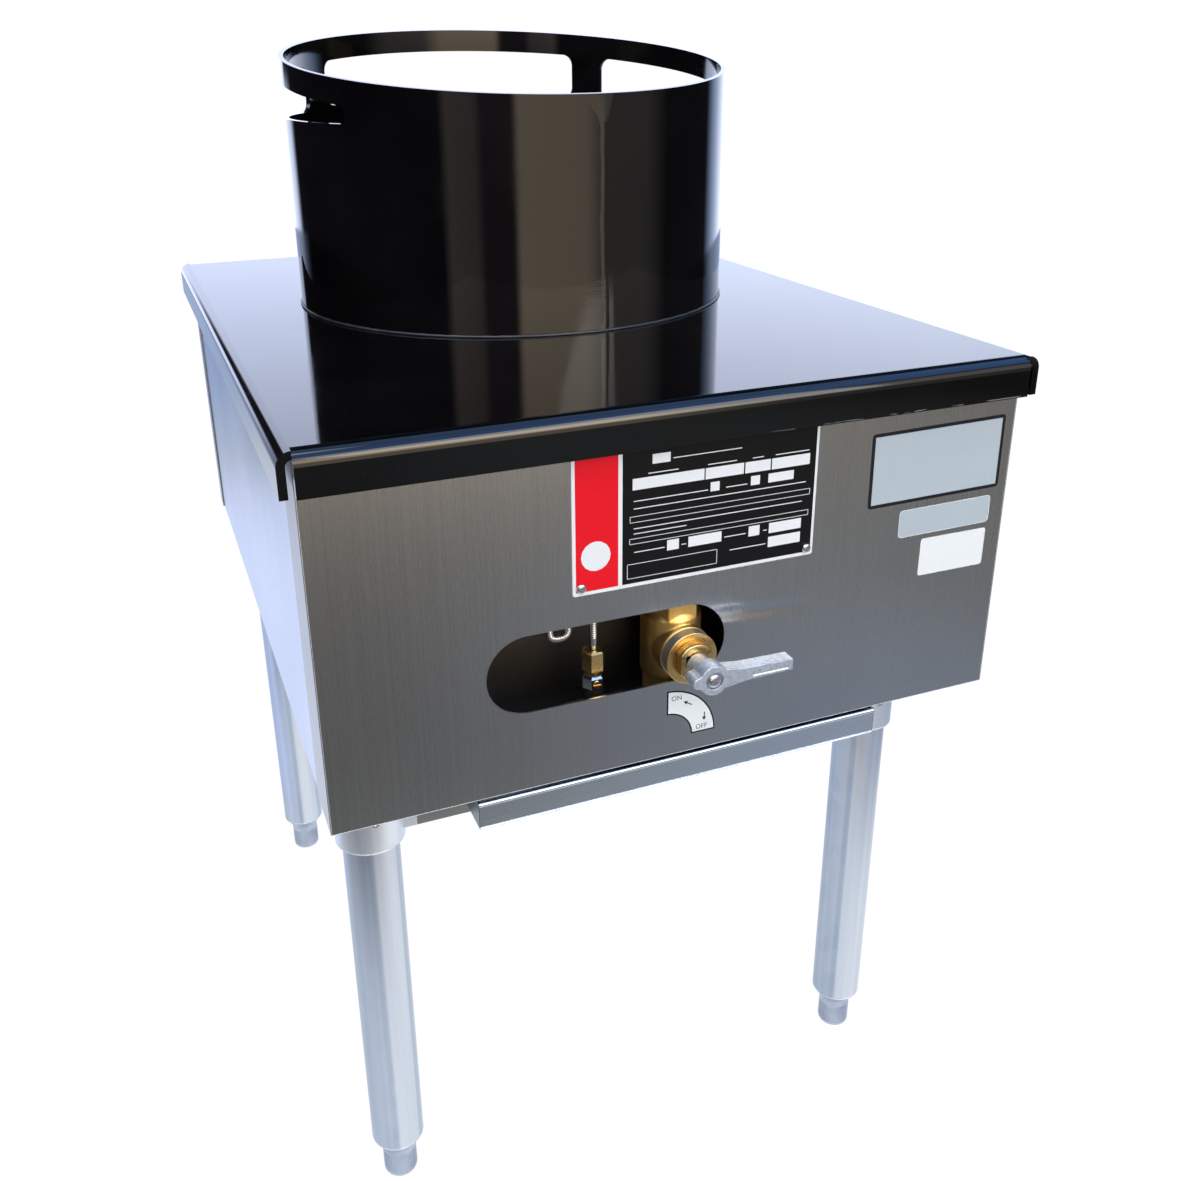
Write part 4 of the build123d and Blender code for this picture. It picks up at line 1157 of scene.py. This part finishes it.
def surroundCard():
    look = surround
    tall = look["height"]
    glow = glowCard("surroundCard", look["strength"], bpy.ops.mesh.primitive_cylinder_add, vertices=128,
                    radius=look["radius"], depth=tall, end_fill_type="NOTHING",
                    location=(0, look["back"], tall / 2))
    x, y, z = glow.axes()
    heading = x.maths("ARCTAN2", y * -1) / (2 * math.pi) + 0.5
    colour = glow.ramp(heading, look["stops"])
    above, start, end = look["cloth"]
    cloth = glow.step(z, *above) * glow.step(heading, *start) * (1 - glow.step(heading, *end))
    colour = glow.mix(cloth, colour, look["clothColour"])
    inFront = glow.step(y, *look["front"])
    lit = 1.0 - glow.step(z, look["brightTo"], look["brightTo"] + 0.2)
    warm = 1.0 - glow.step(z, look["skyFrom"] - 0.4, look["skyFrom"])
    level = lit * (1 - inFront) + warm * inFront
    sky = inFront * glow.step(z, look["skyFrom"], look["skyFrom"] + 0.4)
    above = glow.mix(sky, look["above"], look["sky"])
    more, heights = look["louder"]
    louder = inFront * glow.step(z, *heights) * more + 1
    glow.feed("Color", glow.node("VectorMath", {"operation": "SCALE"},
                                 {0: glow.mix(level, above, colour), "Scale": louder}))


floorGlow = {
    # each pair is where a change starts and ends: metres, or degrees of heading
    "near": (0.50, 0.74),
    "behind": ((108, 122), (146, 166)),
    "right": (-0.05, 0.45),
    "coolTo": (1.05, 1.35),
    "left": ((0.25, 0.33), (0.0, 0.15), (1.3, 1.7)),
    "far": (1.2, 2.4),
    "columnsFrom": (2.1, 2.6),
    "columns": (0.45, (2.6, 4.0)),
    "greys": (rgba(0.145, 0.15, 0.155), rgba(0.265, 0.28, 0.285)),
    "cool": rgba(0.335, 0.39, 0.50),
    "pale": rgba(0.92, 0.97, 1.0),
    "bluish": (rgba(0.84, 0.92, 1.0), rgba(0.46, 0.58, 0.86)),
    "dark": rgba(0.02, 0.02, 0.022),
    "leftColour": rgba(0.92, 1.0, 1.24),
}


def reflectedFloor():
    # the floor as shiny faces see it: pale near the feet and behind, darker in front
    look = floorGlow
    glow = glowCard("floorCard", 1.0, bpy.ops.mesh.primitive_circle_add, vertices=128, fill_type="TRIFAN",
                    radius=surround["radius"], location=(0, surround["back"], 0.004))
    x, y, z = glow.axes()
    away = (x ** 2 + y ** 2) ** 0.5
    heading = x.maths("ARCTAN2", y * -1) * (180 / math.pi)
    near = 1 - glow.step(away, *look["near"])
    rightBehind, leftBehind = look["behind"]
    behind = glow.step(heading, *rightBehind) + glow.step(heading * -1, *leftBehind)
    right = glow.step(x, *look["right"])
    cool = right * (1 - glow.step(away, *look["coolTo"]))
    shade = glow.mix(right, *look["greys"])
    shade = glow.mix(cool, shade, look["cool"])
    fromX, fromY, awayTo = look["left"]
    left = glow.step(x * -1, *fromX) * glow.step(y, *fromY) * (1 - glow.step(away, *awayTo))
    front = glow.mix(near, shade, look["pale"])
    far = glow.step(away, *look["far"])
    back = glow.mix(far, *look["bluish"])
    columns = glow.ramp(heading / 360 + 0.5, surround["stops"])
    share, dimming = look["columns"]
    dim = (1 - glow.step(away, *dimming)) * share
    front = glow.mix(glow.step(away, *look["columnsFrom"]), front, glow.mix(dim, columns, look["dark"]))
    glow.feed("Color", glow.mix(left, glow.mix(behind, front, back), look["leftColour"]))


def roofCard():
    # blue above the front, which the bend of the hem shows, and dark behind
    glow = glowCard("roofCard", 2.2, bpy.ops.mesh.primitive_plane_add, size=2.2 * surround["radius"],
                    location=(0, surround["back"], surround["height"]))
    x, y, z = glow.axes()
    glow.feed("Color", glow.mix(glow.step(y, 0.8, 1.8), rgba(0.20, 0.36, 0.74), rgba(0.008, 0.010, 0.016)))


surroundCard()
reflectedFloor()
roofCard()


def paleFloor():
    # soft grey to the light, near white to the camera and in reflections
    pale = Finish({"Color": rgba(1, 1, 1), "Strength": 1.06}, glow=True)
    pale.material.name = "paleFloor"
    cloth = pale.noise(40, detail=4)
    shadowed = pale.node("BsdfDiffuse", {}, {"Color": pale.mix(cloth * 0.1, rgba(0.86, 0.88, 0.92),
                                                               rgba(0.80, 0.82, 0.86))})
    seen, mirrored = [pale.node("LightPath", {}, {}, name) for name in ("Is Camera Ray", "Is Glossy Ray")]
    share = seen.maths("MAXIMUM", mirrored) * 0.90
    mixer = pale.node("MixShader", {}, {0: share, 1: shadowed, 2: Wire(pale, pale.shader.outputs[0])})
    output = pale.tree.nodes["Material Output"]
    pale.tree.links.new(mixer.socket, output.inputs["Surface"])
    return pale.material


clearSelection()
bpy.ops.mesh.primitive_plane_add(size=30, location=(0, 0, -0.0005))
floor = bpy.context.object
floor.name = "floor"
floor.data.materials.append(paleFloor())

worldLook = {"soft": (rgba(0.92, 0.96, 1.0), 0.62), "white": (rgba(1, 1, 1), 1.0)}


def studioWorld():
    # soft light on the object, plain white to the camera and in reflections
    world = bpy.data.worlds.new("studio")
    bpy.context.scene.world = world
    world.use_nodes = True
    world.node_tree.nodes.clear()
    sky = Sheet(world.node_tree)
    soft, white = [sky.node("Background", {}, {"Color": colour, "Strength": strength})
                   for colour, strength in worldLook.values()]
    seen, *others = [sky.node("LightPath", {}, {}, "Is " + kind + " Ray")
                     for kind in ("Camera", "Glossy", "Transmission")]
    for ray in others:
        seen = seen.maths("MAXIMUM", ray)
    mixed = sky.node("MixShader", {}, {0: seen, 1: soft, 2: white})
    output = sky.tree.nodes.new("ShaderNodeOutputWorld")
    sky.tree.links.new(mixed.socket, output.inputs["Surface"])


studioWorld()

lamps = {
    # name: (place, size, watts, colour)
    "overheadLamp": ((-0.9, -0.6, 2.6), 1.8, 34, (1.0, 0.99, 0.97)),
    "frontLamp": ((0.8, -2.2, 1.7), 1.4, 22, (1.0, 0.98, 0.95)),
}
for lampName, (place, size, watts, colour) in lamps.items():
    lampData = bpy.data.lights.new(lampName, "AREA")
    lampData.size = size
    lampData.energy = watts
    lampData.color = colour
    lamp = linked(lampName, lampData)
    lamp.location = place
    aim = Vector((0, 0, 0.45)) - Vector(place)
    lamp.rotation_euler = aim.to_track_quat("-Z", "Y").to_euler()

# solved from the photograph's straight edges
cameraSolve = {"place": (-297.72, -852.56, 788.96), "yaw": 21.324, "pitch": -21.875, "roll": -0.779,
               "focal": 1166.19, "centre": (573.18, 515.36), "frame": 1181}


def addCamera(solve):
    yaw, pitch, roll = [math.radians(solve[key]) for key in ("yaw", "pitch", "roll")]
    ahead = Vector((math.sin(yaw) * math.cos(pitch), math.cos(yaw) * math.cos(pitch), math.sin(pitch)))
    right = Vector((math.cos(yaw), -math.sin(yaw), 0))
    up = right.cross(ahead)
    right, up = (right * math.cos(roll) + up * math.sin(roll), up * math.cos(roll) - right * math.sin(roll))
    data = bpy.data.cameras.new("camera")
    data.sensor_width = 36
    data.lens = solve["focal"] * 36 / solve["frame"]
    data.shift_x = 0.5 - solve["centre"][0] / solve["frame"]
    data.shift_y = solve["centre"][1] / solve["frame"] - 0.5
    data.clip_start = 0.02
    data.clip_end = 60
    camera = linked("camera", data)
    turn = Matrix((right, up, -ahead)).transposed().to_4x4()
    camera.matrix_world = Matrix.Translation(Vector(solve["place"]) * mm) @ turn
    bpy.context.scene.camera = camera


addCamera(cameraSolve)
bpy.context.scene.view_settings.view_transform = "Standard"
print("stage and camera")
